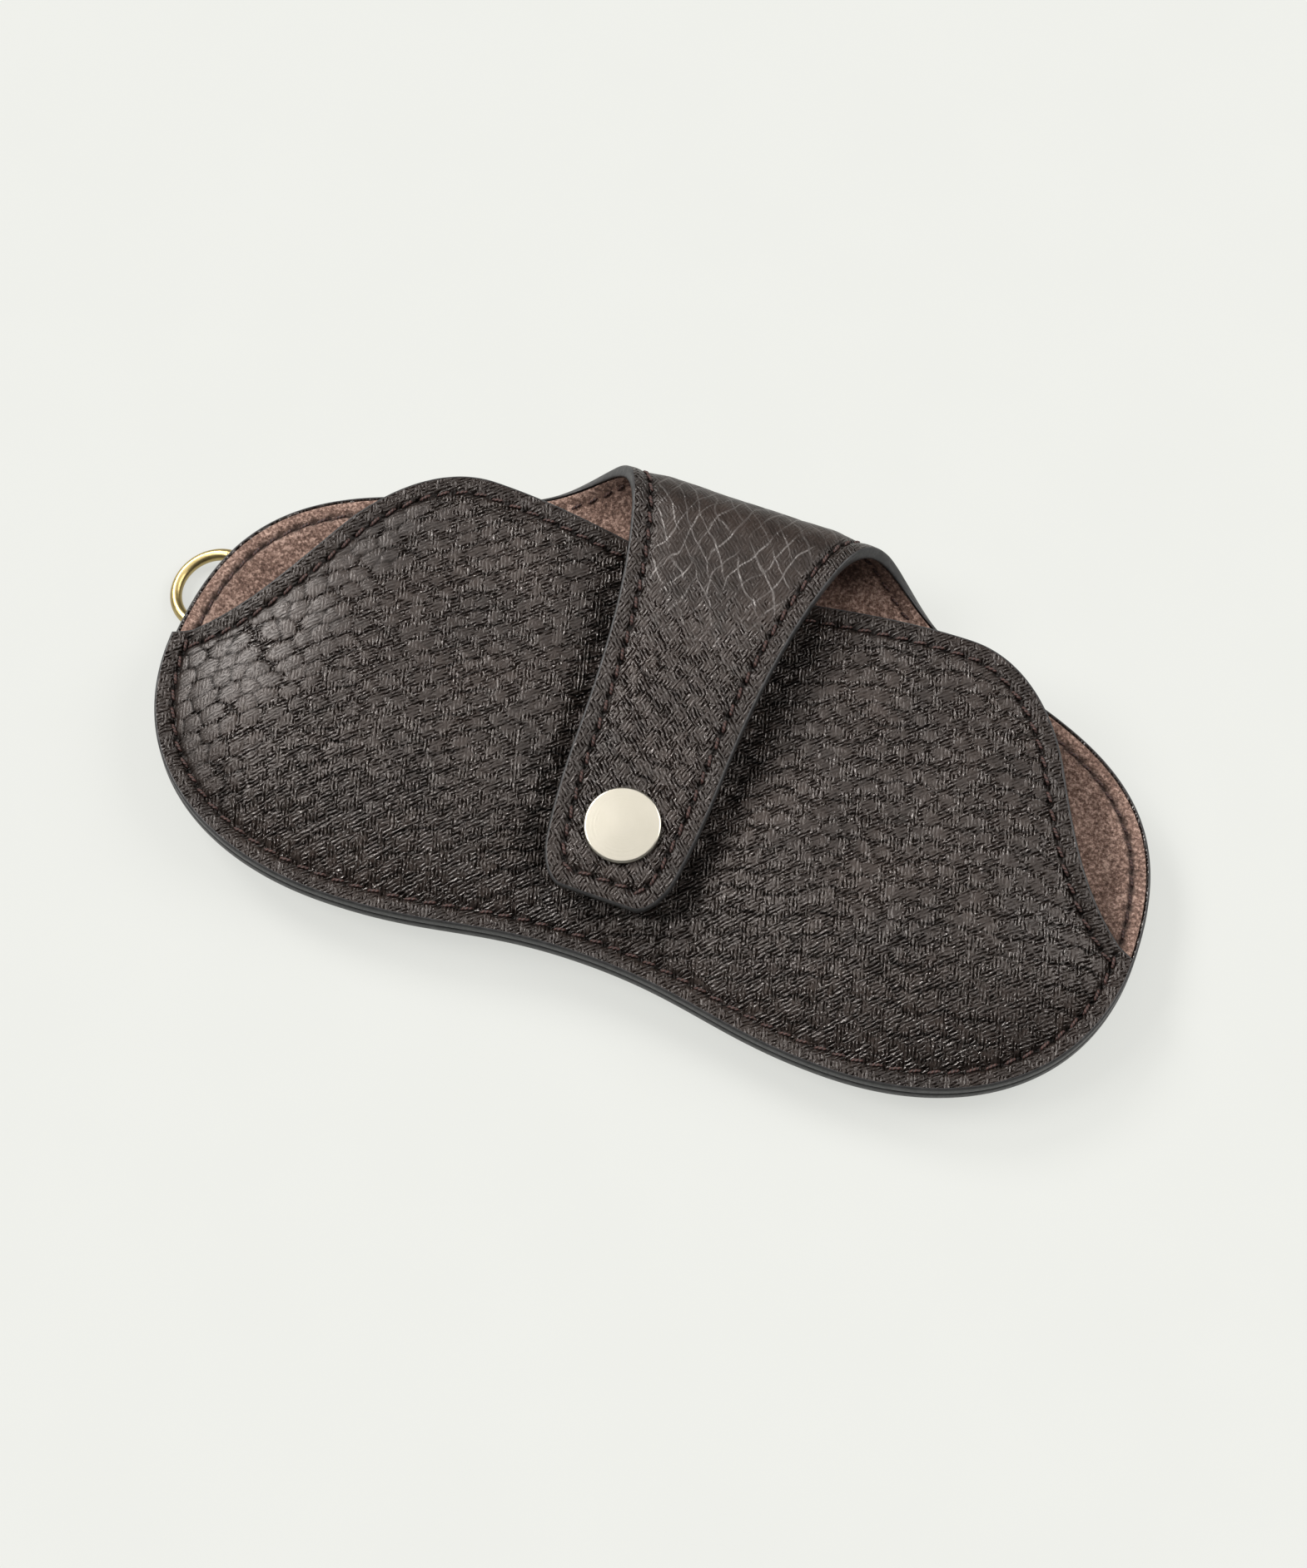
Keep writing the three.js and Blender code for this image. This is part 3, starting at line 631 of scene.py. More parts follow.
def make_panel(name, lower, upper, shown, hidden, lip, rows, hidden_rows, finishes, cut=None, inset=0.0,
               grained=0, rounding=EDGE_ROUND):
    """Closed panel between a lower and an upper edge. Each column is a closed loop: the shown face in many
    rows from edge to edge, the rounded edge, which reaches down to the lip so that it covers the lining too,
    the hidden face in few rows, and the other edge. grained is the sign of the grain's height on the shown
    face, 0 for none."""
    low_out, up_out = end_normals(lower, upper)
    cut = np.ones(len(upper)) if cut is None else cut
    lower = lower - low_out * inset
    upper = upper - up_out * (inset * cut)[:, None]
    face_low = lower - low_out * rounding
    face_up = upper - up_out * (rounding * cut)[:, None]
    v = np.linspace(0, 1, rows)[None, :, None]
    plan = face_low[:, None] * (1 - v) + face_up[:, None] * v
    height, hole = shown(plan)
    crease, top = np.zeros(height.shape), np.zeros(height.shape)
    if grained:
        bumps, crease, top = grain(plan, front_open(plan))
        if grained > 0:
            # beside the strap top is lowered, so the leather there is more wrinkled and painted darker as the
            # strap's shade; towards the bottom of the front it is also a little more wrinkled and darker
            top = top - 1.1 * pinched(plan) - 0.4 * smooth(-plan[..., 1], 6, 22)
        bumps, crease, top = pressed(bumps, crease, top, to_edge(plan, seam_line, upper))
        height = height + grained * bumps
    out = EDGE_OUT * rounding / EDGE_ROUND
    hidden_in = rounding + HIDDEN_INSET
    low_lip, up_lip = lip(face_low), lip(face_up)
    up_lip = np.where(cut > 0.5, up_lip, hidden(face_up))
    wall_up = upper[:, None] + up_out[:, None] * (out[None, :, None] * cut[:, None, None])
    wall_low = lower[:, None] + low_out[:, None] * out[None, :, None]
    wall_up_z = edge_levels(height[:, -1:], up_lip[:, None])
    wall_low_z = edge_levels(height[:, :1], low_lip[:, None])
    w = np.linspace(1, 0, hidden_rows)[None, :, None]
    back_low = lower - low_out * hidden_in
    back_up = upper - up_out * (hidden_in * cut)[:, None]
    under = back_low[:, None] * (1 - w) + back_up[:, None] * w
    under_z = hidden(under)
    loop = np.concatenate([plan, wall_up[:, 1:], under, wall_low[:, :0:-1]], axis=1)
    level = np.concatenate([height, wall_up_z[:, 1:], under_z, wall_low_z[:, :0:-1]], axis=1)
    columns, around = level.shape
    points = np.concatenate([loop, level[..., None]], axis=-1).reshape(-1, 3)
    steps = len(EDGE_OUT) - 1
    band = np.zeros(around, int)
    band[rows - 1:rows + steps - 1] = 1
    band[around - steps:] = 1
    fields = sheet_fields(loop, [(0, 0), (0, around - rows)], crease, top, hole)
    banded = np.tile(band, columns - 1) if len(finishes) > 1 else None
    return make_piece(name, points, tube_quads(columns, around), finishes, banded, fields)


def make_strap(name, outer, depth_in, lip, rows, columns, finishes, inset=0.0, grained=0, rounding=EDGE_ROUND,
               shown_inside=False):
    """Closed strip of the fold and strap. Each row across it is a closed loop: outer face, right edge, inner
    face, left edge. At the tip and at the root the loop closes over the edge's profile to its middle."""
    side = spaced(strap_side, rows - 1)
    t = tangents(side)
    t[-1] = (-1, 0)
    out = np.column_stack([t[:, 1], -t[:, 0]])
    side = side - out * inset
    side[0] = (side[0, 0], 0.0)
    off = EDGE_OUT * rounding / EDGE_ROUND
    steps = len(off)
    face = past_root(side - out * rounding)
    share = np.linspace(-1, 1, columns)
    flat = grid(face[:, :1] * share, face[:, 1:])
    lift, hole = outer(flat)
    crease, crown = np.zeros(lift.shape), np.zeros(lift.shape)
    if grained:
        tight = stretched(flat)
        bumps, crease, crown = grain(flat + [0, ROOT_Y], 0.8 * tight)
        bumps, crease = bumps * (1 - 0.75 * tight), crease * (1 - tight) ** 2 - TIGHT_CREASE * tight
        crown = np.minimum(crown + tight * (1 - crown), 1.0) - 0.25
        bumps, crease, crown = pressed(bumps, crease, crown, to_edge(flat, strap_line))
        lift = lift + grained * bumps
    wall = past_root(side[:, None] + out[:, None] * off[None, :, None])
    right_lift, left_lift = edge_levels(lift[:, -1:], lip), edge_levels(lift[:, :1], lip)
    under = past_root(side - out * (rounding + HIDDEN_INSET))
    inner = grid(under[:, :1] * share[::-1], under[:, 1:])
    inner_lift = np.full(inner.shape[:2], depth_in)
    if shown_inside:
        inner_lift = inner_lift + shown_inside(inner)
    left_wall = wall[:, :0:-1] * [-1, 1]
    loop = np.concatenate([flat, wall[:, 1:], inner, left_wall], axis=1)
    level = np.concatenate([lift, right_lift[:, 1:], inner_lift, left_lift[:, :0:-1]], axis=1)
    around = level.shape[1]

    # closing rows: at the tip each point slides along the edge's profile, at the root straight through
    half = steps // 2
    top = np.arange(around) < columns
    low = (np.arange(around) >= columns + steps - 1) & (np.arange(around) < 2 * columns + steps - 1)
    place = np.zeros(around, int)
    place[low] = steps - 1
    place[columns:columns + steps - 1] = np.arange(1, steps)
    place[2 * columns + steps - 1:] = np.arange(steps - 1, 0, -1)
    x_last = loop[-1, :, 0].copy()
    x_last[low] = (TIP_HALF - inset) * share[::-1]
    x_last[top] = (TIP_HALF - inset) * share
    tip_loops, tip_levels = [], []
    for step in range(1, half + 1):
        at = np.clip(place, step, steps - 1 - step)
        tip_loops.append(np.column_stack([x_last, side[-1, 1] + off[at]]))
        tip_levels.append(edge_levels(lift[-1].mean(), lip)[at])
    middle = 0.5 * (level[0][top].mean() + depth_in)
    loop = np.concatenate([loop[:1], loop, tip_loops])
    level = np.concatenate([[np.full(around, middle)], level, tip_levels])
    points = on_strap(loop[..., 0], loop[..., 1], level).reshape(-1, 3)
    band = np.zeros(around, int)
    band[columns - 1:columns + steps - 2] = 1
    band[2 * columns + steps - 2:] = 1
    rings = len(level)
    finish_of = np.tile(band, (rings - 1, 1))
    finish_of[-half:] = 1
    pad = [(1, half), (0, around - columns)]
    fields = sheet_fields(loop + [0, ROOT_Y], pad, crease, crown, hole)
    banded = finish_of.ravel() if len(finishes) > 1 else None
    return make_piece(name, points, tube_quads(rings, around), finishes, banded, fields)


def make_stitches(name, paths, finish):
    """Separate stitches along paths, given as points, normals and the number of stitches. Each stitch is a
    short thick thread: rings of an ellipse whose size falls to nothing at both ends, arched over the groove
    and slanted a little across it."""
    rings, around = 8, 6
    t = np.linspace(-1, 1, rings)
    body = np.sqrt(np.clip(1 - np.abs(t) ** STITCH_TAPER, 0, 1))
    turn = np.arange(around) * 2 * math.pi / around
    all_points, all_fields = [], []
    for points, normals, count in paths:
        run = runs(points)
        pitch = run[-1] / count
        at = (np.arange(count) + 0.5) * pitch
        centre, ahead, normal = (between(values, run, at) for values in (points, tangents(points), normals))
        ahead = unit(ahead)
        normal = unit(normal - ahead * (ahead * normal).sum(1, keepdims=True))
        side = np.cross(normal, ahead)
        length = STITCH_HALF * pitch
        axis = centre[:, None] + ahead[:, None] * (t * length)[None, :, None]
        axis = axis + side[:, None] * (STITCH_SLANT * t)[None, :, None]
        axis = axis + normal[:, None] * (STITCH_RISE - STITCH_DIP * t**4)[None, :, None]
        wide = (0.5 * THREAD * body)[None, :, None, None] * np.cos(turn)[None, None, :, None]
        tall = (STITCH_TALL * THREAD * body)[None, :, None, None] * np.sin(turn)[None, None, :, None]
        shape = axis[:, :, None] + side[:, None, None] * wide + normal[:, None, None] * tall
        all_points.append(shape.reshape(-1, 3))
        along = (at[:, None] + t * length)[:, :, None]
        all_fields.append(grid(along, turn, 0 * along).reshape(-1, 3))
    points = np.concatenate(all_points)
    total = len(points) // (rings * around)
    one = tube_quads(rings, around)
    quads = (one[None] + (np.arange(total) * rings * around)[:, None, None]).reshape(-1, 4)
    return make_piece(name, points, quads, [finish], None, {"flat": np.concatenate(all_fields)})


def face_normals(points, height):
    """Normals of a height field at given points, by differences over half a millimetre."""
    step = 0.5
    dx = (height(points + [step, 0]) - height(points - [step, 0])) / (2 * step)
    dy = (height(points + [0, step]) - height(points - [0, step])) / (2 * step)
    normal = np.column_stack([-dx, -dy, np.ones(len(points))])
    return unit(normal)


def sewn_path(line, base, lift, sign=1):
    """Path of stitches at a lift over a height field, with normals up for a sign of 1 and down for -1."""
    return np.column_stack([line, base(line) + lift]), sign * face_normals(line, base)


def make_turned(name, profile, finish, place, sides=96, crisp=40):
    """Solid of revolution: a profile of radius and height carried round the axis, then set in place. The
    field holds the radius, the angle and the height."""
    radius, height = np.array(profile, float).T[:, None]
    angle = np.linspace(0, 2 * math.pi, sides, endpoint=False)[:, None]
    points = grid(radius * np.cos(angle), radius * np.sin(angle), height).reshape(-1, 3)
    flat = grid(radius, angle, height).reshape(-1, 3)
    quads = tube_quads(sides, len(profile), closed=True)
    return make_piece(name, place(points), quads, [finish], None, {"flat": flat}, crisp)


def rounded(corners, radius, steps=5):
    """Closed profile with its corners rounded: each corner becomes a short curve between points that lie the
    radius, or a third of the side, before and after it. A corner on the axis stays."""
    corners = np.array(corners, float)
    before, after = np.roll(corners, 1, 0), np.roll(corners, -1, 0)
    to_before, to_after = before - corners, after - corners
    back = np.linalg.norm(to_before, axis=1, keepdims=True)
    on = np.linalg.norm(to_after, axis=1, keepdims=True)
    a = corners + to_before / back * np.minimum(radius, back / 3)
    b = corners + to_after / on * np.minimum(radius, on / 3)
    t = np.linspace(0, 1, steps)[None, :, None]
    curve = corner_curve(a[:, None], corners[:, None], b[:, None], t)
    axis = corners[:, 0] < 1e-9
    curve[axis] = corners[axis][:, None]
    return curve.reshape(-1, 2)


def make_tube(name, path, radius, finish, sides=24, closed=True, up=(0, 0, 1)):
    """Round wire: circles across a path, in the plane of the path's sideways direction and up."""
    step = np.roll(path, -1, 0) - np.roll(path, 1, 0) if closed else np.gradient(path, axis=0)
    ahead = unit(step)
    up = np.broadcast_to(np.array(up, float), ahead.shape)
    side = unit(np.cross(up, ahead))
    up = np.cross(ahead, side)
    turn = np.linspace(0, 2 * math.pi, sides, endpoint=False)
    size = np.full(len(path), radius)
    run = runs(path)
    if not closed:
        gap = np.minimum(run, run[-1] - run)
        size = radius * np.sqrt(1 - (1 - np.clip(gap / radius, 0, 1)) ** 2)
    points = path[:, None] + size[:, None, None] * (
        side[:, None] * np.cos(turn)[None, :, None] + up[:, None] * np.sin(turn)[None, :, None])
    flat = grid(run[:, None], turn, 0 * run[:, None]).reshape(-1, 3)
    quads = tube_quads(len(path), sides, closed)
    return make_piece(name, points.reshape(-1, 3), quads, [finish], None, {"flat": flat})


# Finishes

# Depths in millimetres; steps, drift and turns of the strokes between pebbles and of the lines on the fold
WRINKLE = 0.085
PORE = 0.04
STROKE_STEP = 0.62
STROKE_WANDER = 6.0
STROKE_DRIFT = (1.3, 0.7, 1.0)
STROKE_TURNS = (46, -16)
LINE_STEP = 2.8
LINE_WANDER = 2.2
LINE_DRIFT = (0.34, 0.1, 1.0)
LINE_TURNS = (-20, 38)
# Near black, painted into the leather as shade: in the creases, the valleys of the wrinkles, the needle
# holes, the stitch grooves and beside the strap
PAINTED_SHADE = (0.0012, 0.001, 0.0009, 1)
# Near black, painted on the suede as the shade of the needle holes and the groove of the rim stitches
SUEDE_PAINTED_SHADE = (0.004, 0.003, 0.003, 1)


def node(tree, kind, values=None, **settings):
    """A node with its settings, and each input given as a number, a colour or another node's output."""
    made = tree.nodes.new(kind)
    for key, value in settings.items():
        setattr(made, key, value)
    for key, value in (values or {}).items():
        if isinstance(value, bpy.types.NodeSocket):
            tree.links.new(value, made.inputs[key])
        else:
            made.inputs[key].default_value = value
    return made


def start(name, **values):
    """A new material with one shader. Returns the material, its nodes and the shader."""
    material = bpy.data.materials.new(name)
    material.use_nodes = True
    tree = material.node_tree
    tree.nodes.clear()
    shader = node(tree, "ShaderNodeBsdfPrincipled", {k.replace("_", " "): v for k, v in values.items()})
    out = node(tree, "ShaderNodeOutputMaterial")
    tree.links.new(shader.outputs[0], out.inputs[0])
    return material, tree, shader


def field(tree, name, output="Fac"):
    """A piece's own field, as a value or as a vector."""
    return node(tree, "ShaderNodeAttribute", attribute_name=name).outputs[output]


def own_place(tree):
    """Place on the piece, in metres."""
    return node(tree, "ShaderNodeTexCoord").outputs["Object"]


def mapped(vector, **values):
    """A vector turned or scaled."""
    return node(vector.id_data, "ShaderNodeMapping", {"Vector": vector, **values}).outputs[0]


def part(vector, index):
    """One of the three numbers of a vector."""
    return node(vector.id_data, "ShaderNodeSeparateXYZ", {"Vector": vector}).outputs[index]


def noise(vector, scale, detail=2.0, rough=0.5):
    """Noise about one half."""
    values = {"Vector": vector, "Scale": scale, "Detail": detail, "Roughness": rough}
    return node(vector.id_data, "ShaderNodeTexNoise", values).outputs[0]


def span(value, low, high, to_low, to_high):
    """A value carried from one range to another and held at its ends."""
    values = {"Value": value, "From Min": low, "From Max": high, "To Min": to_low, "To Max": to_high}
    return node(value.id_data, "ShaderNodeMapRange", values).outputs[0]


def ramp(value, *stops):
    """Colour by value: stops are a position and a colour."""
    made = node(value.id_data, "ShaderNodeValToRGB", {"Fac": value})
    line = made.color_ramp.elements
    while len(line) < len(stops):
        line.new(0.5)
    for element, (place, colour) in zip(line, stops):
        element.position = place
        element.color = (*colour, 1)
    return made.outputs[0]


def mix(share, a, b):
    """Colour that goes from a to b with the share."""
    return node(share.id_data, "ShaderNodeMix", {0: share, 6: a, 7: b}, data_type="RGBA").outputs[2]


def reckon(how, a, b=0.0):
    """Arithmetic on a value and a number, or on two values."""
    return node(a.id_data, "ShaderNodeMath", {0: a, 1: b}, operation=how).outputs[0]


def plus(a, b):
    """Sum of two values."""
    return reckon("ADD", a, b)


def times(a, b):
    """Product of two values."""
    return reckon("MULTIPLY", a, b)


def bump(height, distance, normal=None):
    """Normal bent by a height, where 1 stands for a distance in millimetres."""
    values = {"Height": height, "Distance": distance * MM, "Strength": 1.0}
    if normal is not None:
        values["Normal"] = normal
    return node(height.id_data, "ShaderNodeBump", values).outputs[0]


def link(output, shader, socket):
    """Joins an output to an input of the shader."""
    output.id_data.links.new(output, shader.inputs[socket])


def leaning(vector, turn, drift):
    """A vector turned by an angle: its part across that direction, and the whole scaled by the drift."""
    turned = mapped(vector, Rotation=(0, 0, math.radians(turn)))
    return part(turned, 0), mapped(turned, Scale=drift)


def hatch(vector, turn):
    """Short strokes that lean by the angle turn: a sine across them, whose phase and strength wander with
    noise drawn out along them, so that each stroke bends a little and soon ends."""
    across, drawn = leaning(vector, turn, STROKE_DRIFT)
    wander = times(noise(drawn, 1.0, 1.0), STROKE_WANDER)
    phase = plus(times(across, 2 * math.pi / STROKE_STEP), wander)
    return times(reckon("SINE", phase), span(noise(drawn, 1.7, 1.0), 0.4, 0.6, 0.15, 1.45))


def stretch_lines(vector, turn):
    """Thin pale lines of stretched leather, side by side at the angle turn. Noise moves each line sideways
    and fades it in and out along its way."""
    across, drawn = leaning(vector, turn, LINE_DRIFT)
    wander = times(noise(vector, 0.1, 2.0, 0.45), LINE_WANDER)
    middle = reckon("SUBTRACT", reckon("FRACT", plus(times(across, 1 / LINE_STEP), wander)), 0.5)
    line = span(reckon("ABSOLUTE", middle), 0.025, 0.07, 1.0, 0.0)
    return times(line, span(noise(drawn, 1.0, 1.0), 0.36, 0.54, 0.0, 1.0))


def leather_finish(name, dark, light):
    """Pebbled leather: almost black brown, smoother on the tops of the pebbles and closely wrinkled between
    them. The wrinkles are fine strokes that lean one way in some patches and the other way in others. Their
    sides catch the light, and their valleys are painted towards black as shade. The creases, the needle
    holes, the grooves of the stitches and wherever top is negative are dull and painted black as shade, but
    over the fold, where the leather is stretched and crease is negative, thin pale lines cross instead."""
    material, tree, shader = start(name, IOR=1.7, Specular_IOR_Level=0.26,
                                   Specular_Tint=(1.0, 0.945, 0.915, 1))
    flat = field(tree, "flat", "Vector")
    crease, top, hole = field(tree, "crease"), field(tree, "top"), field(tree, "hole")
    tight = span(crease, 0.0, -TIGHT_CREASE, 0.0, 1.0)
    cloud = noise(flat, 0.07, 3.0, 0.55)
    patch = noise(flat, 0.5)
    rising, falling = (hatch(flat, turn) for turn in STROKE_TURNS)
    ridges = plus(times(rising, span(patch, 0.5, 0.53, 1.0, 0.0)),
                  times(falling, span(patch, 0.5, 0.53, 0.0, 1.0)))
    wrinkled = times(span(top, -1.0, 1.0, 2.2, 0.32), span(tight, 0.0, 1.0, 1.0, 0.5))
    ridges = times(ridges, wrinkled)
    link(bump(noise(flat, 4.2, 2.0, 0.6), PORE, bump(ridges, WRINKLE)), shader, "Normal")
    # deep: how much the colour is painted black as shade and the leather dulled: in the creases, where top is
    # negative, and in the needle holes and stitch grooves
    deep = plus(span(crease, 0.15, 0.85, 0.0, 0.76), span(top, -0.2, -1.2, 0.0, 0.4))
    deep = reckon("MAXIMUM", deep, hole)
    colour = ramp(plus(times(cloud, 0.6), times(patch, 0.4)), (0.36, dark), (0.64, light))
    # the valleys of the strokes are painted towards black as shade
    colour = mix(span(ridges, 0.0, -1.0, 0.0, 0.8), colour, PAINTED_SHADE)
    link(mix(deep, colour, PAINTED_SHADE), shader, "Base Color")
    shine = times(span(ridges, -0.75, 1.25, 0.0, 0.75), span(top, 0.0, 1.0, 1.0, 0.7))
    shine = plus(shine, span(top, 1.0, 1.6, 0.0, 0.2))
    shine = times(shine, span(tight, 0.0, 1.0, 1.0, 0.6))
    pale = reckon("MAXIMUM", *(stretch_lines(flat, turn) for turn in LINE_TURNS))
    shine = plus(shine, times(pale, span(tight, 0.1, 0.9, 0.0, 0.66)))
    link(times(shine, span(deep, 0.0, 1.0, 1.0, 0.1)), shader, "Specular IOR Level")
    link(span(wrinkled, 0.2, 1.2, 0.42, 0.24), shader, "Roughness")
    return material


def edge_finish(name):
    """Painted edge: dark grey, slightly shiny, with faint brush lines and small lumps."""
    material, tree, shader = start(name, Specular_IOR_Level=0.3)
    where = own_place(tree)
    lumps = noise(where, 700.0, 3.0, 0.6)
    brushed = noise(where, 2600.0)
    link(ramp(lumps, (0.3, (0.018, 0.0178, 0.018)), (0.7, (0.036, 0.035, 0.0355))), shader, "Base Color")
    link(span(brushed, 0.3, 0.7, 0.34, 0.5), shader, "Roughness")
    link(bump(lumps, 0.08, bump(brushed, 0.02)), shader, "Normal")
    return material


def suede_finish(name):
    """Suede: warm brown nap, with lighter and darker strokes, short fibres and a soft sheen."""
    material, tree, shader = start(name, Roughness=0.95, Specular_IOR_Level=0.15, Sheen_Weight=0.35,
                                   Sheen_Roughness=0.5, Sheen_Tint=(0.75, 0.55, 0.47, 1))
    where = own_place(tree)
    strokes = noise(where, 190.0, 4.0, 0.62)
    fibre = noise(where, 1700.0, 4.0, 0.7)
    speck = noise(where, 5200.0, 2.0, 0.6)
    tone = plus(times(strokes, 0.22), times(fibre, 0.78))
    colour = ramp(tone, (0.38, (0.05, 0.028, 0.022)), (0.5, (0.175, 0.108, 0.084)),
                  (0.62, (0.46, 0.32, 0.262)))
    # the needle holes and the groove of the rim stitches are painted near black as shade
    link(mix(field(tree, "hole"), colour, SUEDE_PAINTED_SHADE), shader, "Base Color")
    link(bump(fibre, 0.5, bump(speck, 0.12)), shader, "Normal")
    return material


def thread_finish(name):
    """Twisted thread: reddish brown, with the turns of its plies running slantwise round it. Its colour is
    lighter on the plies as painted highlight and darker between them as painted shade.
    """
    material, tree, shader = start(name, Roughness=0.6, Specular_IOR_Level=0.4)
    flat = field(tree, "flat", "Vector")
    plies = reckon("SINE", plus(times(part(flat, 0), 9.0), part(flat, 1)))
    fuzz = noise(own_place(tree), 900.0, 3.0, 0.6)
    # the colour follows the plies: lighter on them as painted highlight, darker between them as painted
    # shade, with fuzz mixed in
    tone = plus(span(plies, -1, 1, 0.0, 0.5), times(fuzz, 0.6))
    link(ramp(tone, (0.2, (0.008, 0.0042, 0.0038)), (0.85, (0.070, 0.033, 0.027))), shader, "Base Color")
    link(bump(plies, 0.05), shader, "Normal")
    return material


def metal_finish(name, dark, light, rough_low, rough_high, ring_lines=0.0):
    """Metal: colour and gloss drift a little, with fine scratches, and turning lines where it is a disc."""
    material, tree, shader = start(name, Metallic=1.0)
    where = own_place(tree)
    scratch = noise(mapped(where, Scale=(1.0, 9.0, 1.0)), 1500.0, 3.0, 0.6)
    link(ramp(noise(where, 260.0, 3.0, 0.6), (0.3, dark), (0.7, light)), shader, "Base Color")
    link(span(scratch, 0.3, 0.7, rough_low, rough_high), shader, "Roughness")
    normal = bump(scratch, 0.006)
    if ring_lines:
        radius = part(field(tree, "flat", "Vector"), 0)
        lines = node(tree, "ShaderNodeTexNoise", {"W": radius, "Scale": ring_lines, "Detail": 2.0},
                     noise_dimensions="1D").outputs[0]
        normal = bump(lines, 0.008, normal)
    link(normal, shader, "Normal")
    return material


def fill_finish(name, dark, light, scale):
    """Hidden filling: open foam or grey board, mottled."""
    material, tree, shader = start(name, Roughness=0.95, Specular_IOR_Level=0.2)
    cells = noise(own_place(tree), scale, 4.0, 0.7)
    link(ramp(cells, (0.3, dark), (0.7, light)), shader, "Base Color")
    link(bump(cells, 0.2), shader, "Normal")
    return material


grain_leather = leather_finish("pebbled leather", (0.013, 0.0095, 0.008), (0.030, 0.0215, 0.0178))
tab_leather = leather_finish("tab leather", (0.013, 0.0095, 0.008), (0.028, 0.020, 0.017))
edge_paint = edge_finish("painted edge")
suede = suede_finish("brown suede")
thread = thread_finish("twisted thread")
pale_gold = metal_finish("pale gold cap", (0.45, 0.424, 0.357), (0.475, 0.447, 0.38), 0.3, 0.36, 3.0)
old_brass = metal_finish("old brass", (0.36, 0.27, 0.12), (0.50, 0.39, 0.19), 0.3, 0.42)
ring_brass = metal_finish("ring brass", (0.36, 0.275, 0.115), (0.52, 0.415, 0.19), 0.26, 0.4)
spring_steel = metal_finish("spring steel", (0.50, 0.50, 0.48), (0.62, 0.62, 0.60), 0.25, 0.35)
foam = fill_finish("pale foam", (0.45, 0.41, 0.34), (0.68, 0.64, 0.56), 900.0)
board = fill_finish("grey board", (0.22, 0.17, 0.12), (0.36, 0.29, 0.21), 400.0)


# Pouch

FRONT_COLUMNS = 215
FRONT_ROWS = 180
BACK_COLUMNS = 190
BACK_ROWS = 150
SUEDE_ROWS = 130
INSIDE_COLUMNS = 90
INSIDE_ROWS = 60
PAD_ROWS = 40
HIDDEN_ROWS = 10
SUEDE_HIDDEN_ROWS = 8
PAD_HIDDEN_ROWS = 12
SUEDE_ROUND = 0.2
PAD_INSET = 14.0
PAD_POINTS = 120
PAD_HALF = 56
PAD_TOP_HALF = 54
PAD_END = [3, 0]


def edges_of(half_low, half_up, half_columns):
    """Both edges of a panel, from left to right, from their right halves."""
    return mirrored(spaced(half_low, half_columns)), mirrored(spaced(half_up, half_columns))


def below(height, depth):
    """A height function lowered by a depth."""
    return lambda points: height(points) - depth


def plain(height):
    """A height function that also says there are no holes."""
    return lambda points: (height(points), np.zeros(points.shape[:-1]))


def finish_piece(piece, slot, *nodes, body="pouch"):
    """Gives a piece its body and hides the CAD parts that it stands for; the slot is not used."""
    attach(piece, body)
    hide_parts(*nodes)
    return piece


seam_edge, mouth_edge = edges_of(seam_half, mouth_half, FRONT_COLUMNS)
front_panel = make_panel(
    "front_panel", seam_edge, mouth_edge, front_form,
    below(front_height, LEATHER), below(front_height, STACK),
    FRONT_ROWS, HIDDEN_ROWS, [grain_leather, edge_paint], grained=1)
finish_piece(front_panel, "grain_leather", "front_leather")

seam_edge, back_edge = edges_of(seam_half, back_top_half, BACK_COLUMNS)
on_cut = (np.abs(back_edge[:, 0]) > ROOT_HALF - 0.01).astype(float)
back_panel = make_panel(
    "back_panel", seam_edge, back_edge, back_form,
    below(back_height, -LEATHER), below(back_height, -STACK),
    BACK_ROWS, HIDDEN_ROWS, [grain_leather, edge_paint], cut=on_cut, grained=-1)
finish_piece(back_panel, "grain_leather", "back_leather")

back_suede = make_panel(
    "back_suede", seam_edge, back_edge, back_lining_form, back_lining_under, back_lining_under,
    SUEDE_ROWS, SUEDE_HIDDEN_ROWS, [suede], cut=on_cut, inset=LINING_INSET, rounding=SUEDE_ROUND)
finish_piece(back_suede, "suede", "back_lining")

seam_edge, mouth_edge = edges_of(seam_half, mouth_half, INSIDE_COLUMNS)
front_lining_over = below(front_lining_height, -SUEDE)
front_suede = make_panel(
    "front_suede", seam_edge, mouth_edge, plain(front_lining_height), front_lining_over, front_lining_over,
    INSIDE_ROWS, SUEDE_HIDDEN_ROWS, [suede], inset=LINING_INSET, rounding=SUEDE_ROUND)
finish_piece(front_suede, "suede", "front_lining")

